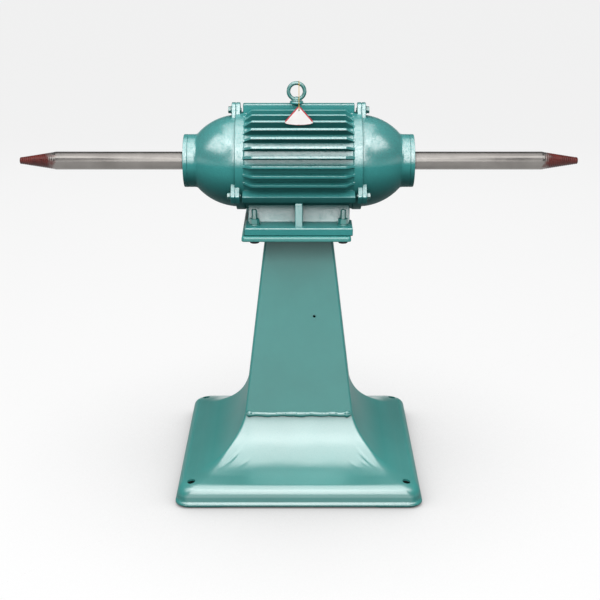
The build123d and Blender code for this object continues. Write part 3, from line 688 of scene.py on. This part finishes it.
def frame_casting():
    front = [FIN_PITCH * (index + 1.5) for index in range(FINS)]
    lug_start = 144.5
    bars = [fin(angle) for angle in front] + [fin(-angle) for angle in front]
    bars += [rail(angle) for angle in SECTORS]
    bars += [lug(angle, lug_start, SEAM) for angle in SECTORS]
    bars += [lug(angle, -SEAM, -lug_start) for angle in SECTORS]
    foot = foot_casting()
    rear_foot = [Vector((p[0], -p[1], p[2])) for p in foot[0]], foot[1]
    box_pad = moved(soft_block(box_outline(-55, 55, -48, 48, 6), 104, 146, 1.0), ALONG_Y)
    return join(frame_shell(), foot, rear_foot, eye_boss(), box_pad, *bars)


motor_piece("motor_frame_casting", frame_casting(), TEAL_CAST, "motor_frame")


# End shields, caps, seals and their fasteners

def end_shield():
    lug_depth = 10.5
    profile = [(SEAM, 98), (SEAM, 113.4), (156.0, 114.3)] + arc((157.0, 114.6), (253.5, 67.6), 10.6, 26)
    profile += [(255.2, 66.9), (257.4, 66.3), (260.0, 66.0), (275.2, 66.0), (275.8, 65.6), (276.0, 65.0)]
    profile += [(276.0, 50.1), (238.2, 50.1), (238.2, 62.0), (247.0, 62.0)]
    profile += arc((247.0, 62.0), (SEAM, 98.0), -10.0, 10)[1:-1]
    return join(lathe(profile, 144), *[lug(angle, SEAM, SEAM + lug_depth) for angle in SECTORS])


def outer_cap():
    profile = [(267.6, 42), (267.6, 49.8), (276.3, 49.8), (276.3, 65.0), (276.5, 65.6), (277.1, 66.0)]
    profile += [(285.4, 66.0), (286.4, 65.7), (286.9, 64.9), (287.0, 64.0), (287.0, 32.2), (286.4, 31.3)]
    profile += [(279.2, 31.2), (279.2, 23.2), (276.3, 23.2), (276.3, 42)]
    return lathe(profile, 128)


def seal_ring():
    profile = [(279.3, 22.62), (289.4, 22.62), (289.9, 22.9), (290.0, 23.6), (289.5, 24.8), (288.2, 26.0)]
    profile += [(287.4, 26.8), (287.1, 28.0), (287.1, 30.3), (286.8, 30.9), (279.3, 30.9)]
    return lathe(profile, 96)


def shield_bolts():
    head_across, head_height, head_from = 16.0, 6.4, 168.5
    shank = lathe_z([(4.0, 141.6), (4.9, 142.5), (4.9, 168.6)], 28)
    head = shifted(hexagon(head_across, head_height), 0, 0, head_from)
    bolt = turned(join(shank, head), 90, "Y")
    return all_round(shifted(bolt, 0, 0, BOLT_CIRCLE))


def shield_washers():
    ring = [(166.1, 5.3), (166.1, 9.5), (166.6, 10.0), (168.0, 10.0), (168.4, 9.6), (168.4, 5.3)]
    right = all_round(shifted(lathe(ring, 40), 0, 0, BOLT_CIRCLE))
    return join(right, flipped(right))


# Name, maker, material, CAD node and slot of each piece, with the hand left off
END_PIECES = [
    ("_end_shield_casting", end_shield, TEAL_CAST, "_end_shield", "enamel"),
    ("_bearing_cap", outer_cap, TEAL_CAST, "_outer_cap", "enamel"),
    ("_seal_lip", seal_ring, RUBBER, "_shaft_seal", "seal_rubber"),
    ("_lug_bolts", shield_bolts, TEAL_SMALL, "_shield_bolts", "enamel"),
]
for hand in ("right", "left"):
    for ending, maker, material, node_ending, slot in END_PIECES:
        part = maker() if hand == "right" else flipped(maker())
        motor_piece(hand + ending, part, material, hand + node_ending)
motor_piece("lug_washers", shield_washers(), TEAL_SMALL, "shield_washers")


# Spindle with its two tapered screws, left-handed on the left

BAR_RADIUS = 22.5
TAPER_FROM, TAPER_FALL = 609.0, 14.0 / 89.0
THREAD_FROM, THREAD_TO, THREAD_ROWS = 610.0, 697.6, 200
THREAD_PITCH, THREAD_DEPTH = 5.0, 0.85


def screw_radius(x, phase):
    """Radius of the tapered screw; phase is the share of a turn round the spindle."""
    cone = BAR_RADIUS - TAPER_FALL * (x - TAPER_FROM)
    fade = min(1.0, (x - 611.0) / 6.0, (698.0 - x) / 4.0)
    turn = ((x - 615.0) / THREAD_PITCH - phase) % 1.0
    deep = min(1.0, max(0.0, (2.0 - abs(turn - 0.5) * 5.0) / 1.6))
    return cone - THREAD_DEPTH * max(0.0, fade) * deep


def spindle_end(hand):
    """Rings of points from the middle out to one screw point."""
    steps = 64
    bar = [(0.0, 28.0), (242.0, 28.0), (242.5, 27.5), (242.5, 22.5), (289.8, 22.5), (290.0, 22.3)]
    bar += [(290.1, 21.5), (292.9, 21.5), (293.0, 22.2), (293.5, 22.5), (608.2, 22.5), (609.4, 22.4)]
    screw = [THREAD_FROM + i * (THREAD_TO - THREAD_FROM) / THREAD_ROWS for i in range(THREAD_ROWS + 1)]
    point = [(698.6, 8.2), (699.4, 7.4), (700.0, 6.2), (700.0, 0.4)]
    rows = [(x, [r] * steps) for x, r in bar]
    rows += [(x, [screw_radius(x, hand * j / steps) for j in range(steps)]) for x in screw]
    rows += [(x, [r] * steps) for x, r in point]
    turns = circle(steps)
    return [[(x * hand, r * sin(t), r * cos(t)) for r, t in zip(radii, turns)] for x, radii in rows]


spindle_bar = loft(list(reversed(spindle_end(-1))) + spindle_end(1)[1:])
make_piece("spindle_bar", spindle_bar, SPINDLE, ["spindle"], "rotor", crease=50, lift=AXIS)


# Lifting eye

def lifting_eye():
    ring_radius, bar_radius, ring_height = 20.0, 4.75, 174.0
    ring = []
    for t in circle(72):
        outward = Vector((cos(t), 0, sin(t)))
        section = []
        for a in circle(24):
            middle = outward * (ring_radius + bar_radius * cos(a))
            section.append((middle.x, bar_radius * sin(a), middle.z))
        ring.append(section)
    eye = shifted(loft(ring, loop=True), 0, 0, ring_height)
    collar = [(12.2, 150.05), (13.0, 150.6), (13.0, 152.6), (12.4, 153.6), (11.0, 154.0), (8.4, 155.0)]
    collar += [(6.6, 157.0), (5.4, 160.0), (0.5, 161.0)]
    return shifted(join(eye, lathe_z(collar, 48)), EYE_X, 0, 0)


motor_piece("lifting_eye_forging", lifting_eye(), TEAL_SMALL, "lifting_eye")


# Hang tag and its string, drawn in a frame that leans with the card

TAG_PIVOT = Vector((0.5, 0.0, 1006.079))
TAG_LEAN = radians(45.895)
TAG_OUT = Vector((0.0, -cos(TAG_LEAN), sin(TAG_LEAN)))
TAG_UP = Vector((0.0, sin(TAG_LEAN), cos(TAG_LEAN)))
TAG_TOP, TAG_FOOT, TAG_HALF, TAG_HOLE = -66.0, -125.0, 38.5, -81.0
TAG_HOLE_RADIUS = 2.5
CARD_HALF = 0.5  # half the card's thickness
YARN_RADIUS = 0.8


def on_tag(across, out, up):
    return TAG_PIVOT + Vector((across, 0, 0)) + TAG_OUT * out + TAG_UP * up


def card_loops():
    """Outlines from the card's edge in to its string hole."""
    corners = [(0.0, TAG_TOP), (-TAG_HALF, -119.5), (-19.0, -123.6), (0.0, TAG_FOOT)]
    corners += [(19.0, -123.6), (TAG_HALF, -119.5)]
    outline = rounded(corners, [6.0, 6.0, 60.0, 60.0, 60.0, 6.0], 8)
    hole = Vector((0.0, TAG_HOLE))
    loops = [shrunk(outline, amount) for amount in (0.0, 0.25, 1.4, 3.5)]
    border = loops[-1]
    rim = [hole + (Vector(p) - hole).normalized() * TAG_HOLE_RADIUS for p in border]
    for share in (0.35, 0.7, 0.92, 1.0):
        loops.append([tuple(Vector(p).lerp(q, share)) for p, q in zip(border, rim)])
    return loops


def tag_card():
    """A three-cornered card with a string hole, soft edges and a slight bow."""
    def face(loops, side):
        rows = []
        for k, loop in enumerate(loops):
            level = side * (CARD_HALF - (0.25 if k == 0 else 0.0))
            rows.append([on_tag(x, level + 0.25 * (x / 32.0) ** 2, y) for x, y in loop])
        return rows

    loops = card_loops()
    return loft(face(loops, 1) + list(reversed(face(loops, -1))), loop=True)


def on_border(spot):
    """Whether a place on the card is in its red border."""
    spot = spot - TAG_PIVOT
    along = spot.dot(TAG_UP)
    above_foot = along - TAG_FOOT - 5.5 * (spot.x / TAG_HALF) ** 2
    from_side = (TAG_TOP - along) * 0.584 - abs(spot.x) * 0.8117
    return above_foot < 1.0 or from_side < 3.0


tag = make_piece("tag_card", tag_card(), CARD_WHITE, ["hang_tag"], "tag")
second_material(tag, CARD_RED, on_border)


def string_route():
    """Control points of the string: round the eye's bar, down to the card, through its hole."""
    wrap, front, drop, tail = 6.18, 1.7, -TAG_HOLE, -3.5
    turns, step = 6, radians(50)
    touch = atan2(front, drop) + acos(wrap / hypot(front, drop)) - pi / 2
    start = touch + turns * step
    spots = [(wrap * cos(start), wrap * sin(start))]
    for index in range(turns):
        a = start - (index + 0.5) * step
        r = wrap / cos(step / 2)
        spots.append((r * cos(a), r * sin(a)))
    leave = Vector((wrap * cos(touch), wrap * sin(touch)))
    corner = Vector((front, -drop))
    way = (corner - leave).normalized()
    spots += [tuple(leave + way * d) for d in (2.9, 10.0)]
    spots += [tuple(corner - way * 4.0), tuple(corner), (tail, -drop)]
    return [on_tag(0.0, out, up) for out, up in spots]


def tag_string(route):
    line = bpy.data.curves.new("tag_cord", "CURVE")
    line.dimensions = "3D"
    line.bevel_depth = YARN_RADIUS * MM
    line.bevel_resolution = 4
    line.resolution_u = 10
    line.use_fill_caps = True
    spline = line.splines.new("NURBS")
    spline.points.add(len(route) - 1)
    for point, spot in zip(spline.points, route):
        point.co = (spot.x * MM, spot.y * MM, spot.z * MM, 1.0)
    spline.order_u = 3
    spline.use_endpoint_u = True
    line.materials.append(YARN)
    return linked("tag_cord", line)


def knot(centre, size, along):
    """A small knot: a ball with lumps like turns of yarn."""
    rows = 14
    rings = []
    for i in range(rows + 1):
        a = pi * (i + 0.02) / (rows + 0.04)
        ring = []
        for t in circle(24):
            lump = 1.0 + 0.13 * sin(3 * t + 4 * a) + 0.06 * sin(5 * t - 3 * a)
            r = size * sin(a) * lump
            ring.append((r * cos(t), r * sin(t), size * 0.85 * cos(a)))
        rings.append(ring)
    turn = along.to_track_quat("Z", "Y").to_matrix().to_4x4()
    return moved(loft(rings), Matrix.Translation(centre) @ turn)


route = string_route()
tag_cord = tag_string(route)
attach(tag_cord, "tag")
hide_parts("tag_string")
tie = knot(on_tag(0.0, -5.6, TAG_HOLE), 2.6, TAG_OUT)
tag_knot = make_piece("tag_knot", tie, YARN, (), "tag", crease=80)


# Stand: sheets, rim, welds, pads and top plate

SHEET = 5.6
FLOOR_GAP = 5.0  # the rim stays this far above the floor, on its pads
RIM_CORNER, FLANGE_CORNER, COLUMN_CORNER = 33.0, 36.0, 6.0
COVE_FOOT = (262.0, 60.5)
COLUMN_FOOT, COLUMN_HEAD = 138.6, 83.0  # half widths at the weld and at the top
SEAM_HALF = 240.0  # half width at which the skirts meet the rim
PRESSED_SIDES, PLAIN_SIDES = 180, 14
SLANT = 0.7  # share of a press mark that goes in, and down, on the cove


# Rows up the outside of the stand are (half width, height, corner radius)

def rim_rows():
    """From the lip just above the floor, round the rim's edge and up its sloping border."""
    lip = [(307.2, 5.0), (308.4, 5.5), (309.0, 6.8), (309.0, 8.4), (308.7, 10.2), (307.9, 11.8)]
    lip += [(306.7, 13.2), (305.4, 14.3), (304.7, 15.4), (304.5, 17.0)]
    rows = [(w, z, RIM_CORNER) for w, z in lip]
    slope, radius, steps = radians(14.5), 30.0, 16
    inset, border = 274.5, 304.5 - COVE_FOOT[0]
    bend = pi / 2 - slope
    start = COVE_FOOT[1] - border * tan(slope) - radius * tan(bend / 2)
    for k in range(steps + 1):
        a = bend * k / steps
        corner = RIM_CORNER + (FLANGE_CORNER - RIM_CORNER) * k / steps
        rows.append((inset + radius * cos(a), start + radius * sin(a), corner))
    w = rows[-1][0]
    while w > COVE_FOOT[0] + 1.0:
        w -= 4.0
        rows.append((w, COVE_FOOT[1] - (w - COVE_FOOT[0]) * tan(slope), FLANGE_CORNER))
    return rows


def cove_rows():
    """The flared foot, up to the weld."""
    rows = []
    for w, z in arc(COVE_FOOT, (COLUMN_FOOT, WELD), 25.0, 110):
        low = min(1.0, max(0.0, (w - 178.0) / 84.0))
        more = (FLANGE_CORNER - COLUMN_CORNER) * low * low * (3.0 - 2.0 * low)
        rows.append((w, z, COLUMN_CORNER + more))
    return rows


def column_rows():
    steps = 24
    rows = []
    for k in range(1, steps + 1):
        share = k / steps
        w = COLUMN_FOOT + (COLUMN_HEAD - COLUMN_FOOT) * share
        rows.append((w, WELD + (COLUMN_TOP - WELD) * share, COLUMN_CORNER))
    return rows


RIM, COVE, COLUMN = rim_rows(), cove_rows(), column_rows()


def split_cove():
    """The cove parted at the rim's seam, with a shared row there."""
    index = next(k for k, row in enumerate(COVE) if row[0] < SEAM_HALF)
    a, b = COVE[index - 1], COVE[index]
    share = (a[0] - SEAM_HALF) / (a[0] - b[0])
    cut = tuple(p + (q - p) * share for p, q in zip(a, b))
    return COVE[:index] + [cut], [cut] + COVE[index:]


RIM_COVE, SKIRT_COVE = split_cove()
# Pressing creases on a skirt: side, distance from the mitre, distance out, depth, width, length
CREASES = [
    (-1, 34.0, 207.0, 2.6, 6.0, 18.0),
    (-1, 77.0, 213.0, 1.3, 6.0, 11.0),
    (1, 33.0, 209.0, 2.6, 6.0, 20.0),
    (1, 50.0, 216.0, 1.3, 5.0, 10.0),
    (1, 80.0, 220.0, 1.4, 6.0, 11.0),
]


def quarter_row(w, z, corner, sides=PLAIN_SIDES):
    """Points across the front of the stand at one height, from mitre to mitre."""
    inner, steps = w - corner, 5

    def half_corner(x, start):
        turns = [radians(start + 45 * k / steps) for k in range(steps + 1)]
        return [(x + corner * cos(a), -inner + corner * sin(a), z) for a in turns]

    straight = [(-inner + 2 * inner * k / sides, -w, z) for k in range(1, sides)]
    return half_corner(-inner, 225) + straight + half_corner(inner, 270)


def drawn_in(rows):
    """The inside of a sheet: the same profile moved in along its own normal."""
    out = []
    for index, (w, z, corner) in enumerate(rows):
        a, b = rows[max(index - 1, 0)], rows[min(index + 1, len(rows) - 1)]
        along = Vector((b[0] - a[0], b[1] - a[1])).normalized()
        out.append((w - along.y * SHEET, z + along.x * SHEET, max(corner - SHEET, 0.6)))
    return out


def press_marks(x, y, z, share):
    """A skirt's point moved by shallow waves and the creases by its corners; share runs up the skirt."""
    from_mitre = -y - abs(x)
    hold = sin(pi * share) * min(1.0, max(0.0, from_mitre / 30.0))
    sink = 0.9 * ripple(x, y, 0, 0.016, 4.3) + 0.25 * ripple(x, y, 5, 0.05, 9.2)
    for side, across, out, deep, slim, tall in CREASES:
        if side * x > 0:
            sink += deep * exp(-(((from_mitre - across) / slim) ** 2) - ((-y - out) / tall) ** 2)
    push = SLANT * hold * sink
    return (x, y + push, z - push)


def sheet_panel(rows, quarter, pressed):
    """A closed panel of sheet over one quarter of the stand."""
    sides = PRESSED_SIDES if pressed else PLAIN_SIDES
    outer = [quarter_row(*row, sides) for row in rows]
    inner = [quarter_row(*row, sides) for row in drawn_in(rows)]
    if pressed:
        top = len(rows) - 1
        outer = [[press_marks(*point, k / top) for point in row] for k, row in enumerate(outer)]
    count = len(outer[0])
    sections = [o + list(reversed(i)) for o, i in zip(outer, inner)]
    points, faces = loft(sections)
    faces = faces[:-2]  # without the end caps, which get four-sided faces below
    for start in (0, (len(sections) - 1) * 2 * count):
        last = start + 2 * count - 1
        faces += [(start + k, start + k + 1, last - k - 1, last - k) for k in range(count - 1)]
    return turned((points, faces), 90 * quarter, "Z")


def rim_pressing():
    def full_row(row):
        line = quarter_row(*row)[:-1], ()
        return [p for quarter in range(4) for p in turned(line, 90 * quarter, "Z")[0]]

    outside = RIM + RIM_COVE[1:]
    inside = [(w, max(z, FLOOR_GAP), corner) for w, z, corner in drawn_in(outside)[6:]]
    return loft([full_row(row) for row in outside + list(reversed(inside))], loop=True)


def drill(low, high, radius, steps):
    return lathe_z([(radius, low), (radius, high)], steps)


ANCHOR_SPOTS = [(x, y) for x in (-269, 269) for y in (-269, 269)]
ANCHOR_RADIUS, PEG_RADIUS = 10.0, 3.5
base_rim = make_piece("base_rim_pressing", rim_pressing(), TEAL_FLARE, ["base_rim"], crease=SHEET_CREASE)
drilled(base_rim, [shifted(drill(25, 90, ANCHOR_RADIUS, 40), x, y, 0) for x, y in ANCHOR_SPOTS])

# Name, rows, quarter turns from the front, whether it is pressed, material and CAD node of each panel
PANELS = [
    ("right_side_panel", SKIRT_COVE + COLUMN, 1, False, TEAL_FLARE, "right_side_sheet"),
    ("left_side_panel", SKIRT_COVE + COLUMN, 3, False, TEAL_FLARE, "left_side_sheet"),
    ("front_skirt_panel", SKIRT_COVE, 0, True, TEAL_FLARE, "front_skirt"),
    ("rear_skirt_panel", SKIRT_COVE, 2, True, TEAL_FLARE, "rear_skirt"),
    ("column_rear_panel", COVE[-1:] + COLUMN, 2, False, TEAL_SHEET, "column_rear_sheet"),
    ("column_front_panel", COVE[-1:] + COLUMN, 0, False, TEAL_SHEET, "column_front_sheet"),
]
panels = {}
for name, rows, quarter, pressed, material, node in PANELS:
    panel = sheet_panel(rows, quarter, pressed)
    panels[name] = make_piece(name, panel, material, [node], crease=SHEET_CREASE)
peg = shifted(turned(drill(60, 160, PEG_RADIUS, 28), 90, "X"), 39, 0, 436)
drilled(panels["column_front_panel"], [peg])


def weld_bead(side):
    """A hand-laid fillet weld across the stand, uneven in width and height."""
    half, rows, bead, out = 135.0, 260, 5.8, 139.2
    rings = []
    for i in range(rows):
        x = -half + 2 * half * i / (rows - 1)
        end = min(1.0, (135.5 - abs(x)) / 5.0)
        uneven = 1.0 + 0.3 * ripple(x, 0, side * 40, 0.06, 3.7) + 0.12 * ripple(x, 0, 9, 0.2, 8.1)
        blob = 0.5 * exp(-(((x - 123.0) / 6.0) ** 2)) + 0.35 * exp(-(((x + 127.0) / 5.0) ** 2))
        size = bead * (0.55 + 0.45 * end) * (uneven + blob)
        sag = 2.4 * ripple(x, 7, side * 11, 0.03, 1.3) + 0.8 * ripple(x, 3, side * 5, 0.12, 5.2) - 0.8
        turns = circle(14)
        ring = [(side * (out + size * cos(a) * 0.85), WELD + sag + size * sin(a) * 1.15) for a in turns]
        rings.append([(x, y, z) for y, z in ring])
    return loft(rings)


make_piece("weld_fillets", join(weld_bead(-1), weld_bead(1)), TEAL_WELD, ["weld_beads"], crease=70)


def corner_pads():
    near, far = 173.0, 303.0
    spans = [(-far, -near), (near, far)]
    outlines = [box_outline(*across, *deep, 31.5, 8) for across in spans for deep in spans]
    return join(*[soft_block(outline, 0.0, FLOOR_GAP, 1.0) for outline in outlines])


make_piece("corner_pads_cut", corner_pads(), TEAL_PADS, ["corner_pads"])
PLATE_TOP = 657.0
top_plate = soft_block(box_outline(-140, 128, -155, 155, 8, 6), COLUMN_TOP, PLATE_TOP, 2.0, 6, 6.0)
make_piece("top_plate_machined", top_plate, TEAL_SHEET, ["top_plate"])


# Foot bolts, washers and nuts

FOOT_SPOTS = [(x, y) for x in (-109.0, 109.0) for y in (-115.0, 115.0)]
FOOT_TOP = 677.0
HEX_ACROSS, HEAD_HEIGHT, NUT_HEIGHT, WASHER_HEIGHT = 22.0, 12.5, 13.6, 3.0


def spread(part):
    return join(*[shifted(part, x, y, 0) for x, y in FOOT_SPOTS])


def foot_bolt():
    head = shifted(hexagon(HEX_ACROSS, HEAD_HEIGHT, False, True), 0, 0, 631.5)
    shank = lathe_z([(6.9, 640.0), (6.9, 690.0)], 32)
    return join(head, shank, screw_thread(7.0, 0.75, 2.0, 689.0, 715.0))


def foot_washer():
    section = [(7.6, 0.1), (14.4, 0.1), (15.0, 0.7), (15.0, 2.4), (14.4, WASHER_HEIGHT), (7.6, WASHER_HEIGHT)]
    return shifted(lathe_z(section, 48, True), 0, 0, FOOT_TOP)


def foot_nut():
    nut = turned(hexagon(HEX_ACROSS, NUT_HEIGHT, True, True, 6.95), 90, "Z")
    return shifted(nut, 0, 0, FOOT_TOP + WASHER_HEIGHT)


bolts = make_piece("foot_bolt_set", spread(foot_bolt()), BLACK_STEEL, ["foot_bolts"])
second_material(bolts, TEAL_SMALL, lambda spot: spot.z > FOOT_TOP)
make_piece("foot_washer_set", spread(foot_washer()), TEAL_SMALL, ["foot_washers"])
make_piece("foot_nut_set", spread(foot_nut()), TEAL_SMALL, ["foot_nuts"])


# Terminal box on the rear

BOX_HALF_WIDE, BOX_HALF_TALL, BOX_CORNER = 63, 56, 5
BOX_FOOT, BOX_RIM, LID_FROM, LID_TOP = 146.0, 198.0, 200.0, 205.0


def box_slab(low, high, edge, inset=0.0, steps=3):
    wide, tall = BOX_HALF_WIDE - inset, BOX_HALF_TALL - inset
    outline = box_outline(-wide, wide, -tall, tall, BOX_CORNER, 5)
    return moved(soft_block(outline, low, high, edge, steps), ALONG_Y)


def lid_screws():
    head = [(0.4, 205.0), (4.4, 205.0), (4.5, 206.2), (4.1, 207.6), (2.6, 208.4), (0.4, 208.5)]
    dome = moved(lathe_z(head, 32), ALONG_Y)
    return join(*[shifted(dome, x, 0, z) for x in (-55.0, 55.0) for z in (-48.0, 48.0)])


def cable_gland():
    hex_across, hex_height, rib_height, ribs = 30.0, 9.0, 0.35, 24
    hexed = shifted(turned(hexagon(hex_across, hex_height), 90, "Y"), BOX_HALF_WIDE, 0, 0)
    profile = [(72.0, 12.2), (72.6, 13.2), (83.4, 13.2), (85.4, 12.8), (87.0, 11.6), (87.9, 9.8), (88.0, 8.6)]
    profile += [(87.4, 8.0), (60.0, 8.0), (60.0, 11.8), (71.0, 11.8)]
    rings = []
    for x, r in profile:
        ring = []
        for t in circle(96):
            rib = rib_height * cos(ribs * t) if 72.5 < x < 84.0 else 0.0
            ring.append((x, (r + rib - (rib_height if rib else 0.0)) * sin(t), (r + rib) * cos(t)))
        rings.append(ring)
    return shifted(join(hexed, loft(rings, loop=True)), 0, 174.0, -20.0)


motor_piece("terminal_box_tray", box_slab(BOX_FOOT, BOX_RIM, 1.2), TEAL_CAST, "terminal_box")
gasket = box_slab(BOX_RIM - 0.1, LID_FROM + 0.1, 0.4, inset=0.6)
motor_piece("terminal_box_gasket", gasket, RUBBER, "box_gasket")
motor_piece("terminal_box_lid", box_slab(LID_FROM, LID_TOP, 2.2, steps=4), TEAL_CAST, "box_lid")
motor_piece("lid_screw_set", lid_screws(), ZINC, "lid_screws")
motor_piece("cable_gland_moulding", cable_gland(), BLACK_NYLON, "cable_gland")


# Pieces inside keep their drawn shape and get their own finish

INSIDE = {
    "stator_core": CORE_STEEL,
    "stator_winding": COPPER,
    "rotor_core": CORE_STEEL,
    "rotor_end_rings": ALLOY,
    "bearing_spring": ZINC,
    "box_screws": ZINC,
    "terminal_block": BROWN_MOULDING,
    "terminal_studs": BRASS,
}
AT_BOTH_ENDS = {"inner_cap": IRON, "cap_screws": ZINC, "ball_cage": BRASS}
AT_BOTH_ENDS |= {name: BEARING for name in ("outer_race", "inner_race", "ball_set")}
for hand in ("left", "right"):
    INSIDE |= {f"{hand}_{name}": finish for name, finish in AT_BOTH_ENDS.items()}
for node_name, finish in INSIDE.items():
    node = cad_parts[node_name]
    node.data.materials.clear()
    node.data.materials.append(finish)


# Studio, in metres: pale floor with a low wall far off, soft light, camera at the photo's angle

FLOOR_REACH, WALL_HEIGHT = 60.0, 5.0
scene = bpy.context.scene
scene.view_settings.view_transform = "Standard"


def pale_floor():
    """White to the eye and in mirrors, darker near the object through a painted contact shadow, and dim as a
    source of light.
    """
    material, net, dim = new_material("pale_floor")
    net.fill(dim, {"Base Color": (0.07, 0.07, 0.07, 1.0), "Roughness": 0.9, "Specular IOR Level": 0.0})
    rays = net.add("LightPath").outputs
    shown = net.plus(rays["Is Camera Ray"], rays["Is Glossy Ray"])
    shown = net.plus(shown, rays["Is Transmission Ray"], clamp=True)
    # Painted shadow: the floor's glow is dimmed by occlusion near the object.
    painted_contact_shadow = net.add("AmbientOcclusion", Distance=0.7)
    painted_contact_shadow.samples = 8
    glow = net.add("Emission", Strength=net.times(painted_contact_shadow.outputs["AO"], 0.86))
    matt = net.add("BsdfDiffuse", Color=(0.13, 0.13, 0.13, 1.0))
    white, mixed = net.add("AddShader"), net.add("MixShader")
    plain, surface = net.nodes["Principled BSDF"], net.nodes["Material Output"].inputs["Surface"]
    wires = [(white.inputs[0], glow), (white.inputs[1], matt), (mixed.inputs[1], plain)]
    wires += [(mixed.inputs[2], white), (surface, mixed)]
    net.feed(mixed.inputs[0], shown)
    for socket, source in wires:
        net.feed(socket, source.outputs[0])
    return material


def floor_mesh():
    mesh = bpy.data.meshes.new("studio_floor")
    reach = FLOOR_REACH
    corners = [(-reach, -reach), (reach, -reach), (reach, reach), (-reach, reach)]
    points = [(x, y, z) for z in (0.0, WALL_HEIGHT) for x, y in corners]
    walls = [(low, low + 4, (low + 1) % 4 + 4, (low + 1) % 4) for low in range(4)]
    mesh.from_pydata(points, [], [(0, 1, 2, 3)] + walls)
    mesh.materials.append(pale_floor())
    return mesh


linked("studio_floor", floor_mesh())

scene.world = bpy.data.worlds.new("studio")
scene.world.use_nodes = True
sky = Net(scene.world.node_tree)
sky.fill(sky.nodes["Background"].inputs, {"Color": (0.95, 0.98, 1.0, 1.0), "Strength": 0.11})


def softbox(name, spot, aim, width, tall, glow):
    """A soft panel at a spot, facing along aim; glow is its brightness, where 1 is white."""
    lamp = bpy.data.lights.new(name, "AREA")
    lamp.shape = "RECTANGLE"
    lamp.size = width
    lamp.size_y = tall
    lamp.energy = glow * pi * width * tall
    obj = linked(name, lamp)
    obj.location = spot
    obj.rotation_euler = Vector(aim).to_track_quat("-Z", "Y").to_euler()
    return obj


DOWN, INWARD = (0, 0.001, -1), (0, 1, 0)
softbox("overhead_panel", (-0.05, -0.875, 2.9), DOWN, 2.2, 2.25, 1.85)
softbox("overhead_rear", (0.0, 0.75, 2.9), DOWN, 2.2, 1.0, 1.1)
softbox("rear_fill", (0.0, 3.4, 2.3), (0.0, -1.0, -0.45), 3.6, 2.0, 0.9).visible_glossy = False
softbox("overhead_strip", (0.0, -3.1, 2.9), DOWN, 1.9, 2.2, 3.3)
softbox("front_strip", (0.0, -4.2, 1.95), INWARD, 2.3, 1.9, 2.2)
softbox("left_panel", (-2.03, -1.17, 3.03), (2.03, 1.17, -2.18), 2.6, 1.9, 2.15)
softbox("right_panel", (1.89, -1.18, 3.15), (-1.89, 1.18, -2.3), 2.2, 1.7, 2.0)
softbox("front_fill", (0.0, -4.3, 1.7), INWARD, 5.0, 2.0, 0.5)

CAMERA_PITCH = 18.457  # degrees below level
camera_data = bpy.data.cameras.new("photo_camera")
camera_data.sensor_width = 36.0
camera_data.lens = 75.0
camera_data.clip_end = 200.0
camera = linked("photo_camera", camera_data)
camera.location = (0.003, -3.090, 1.475)
camera.rotation_euler = (radians(90.0 - CAMERA_PITCH), 0.0, 0.0)
scene.camera = camera

bpy.context.view_layer.update()
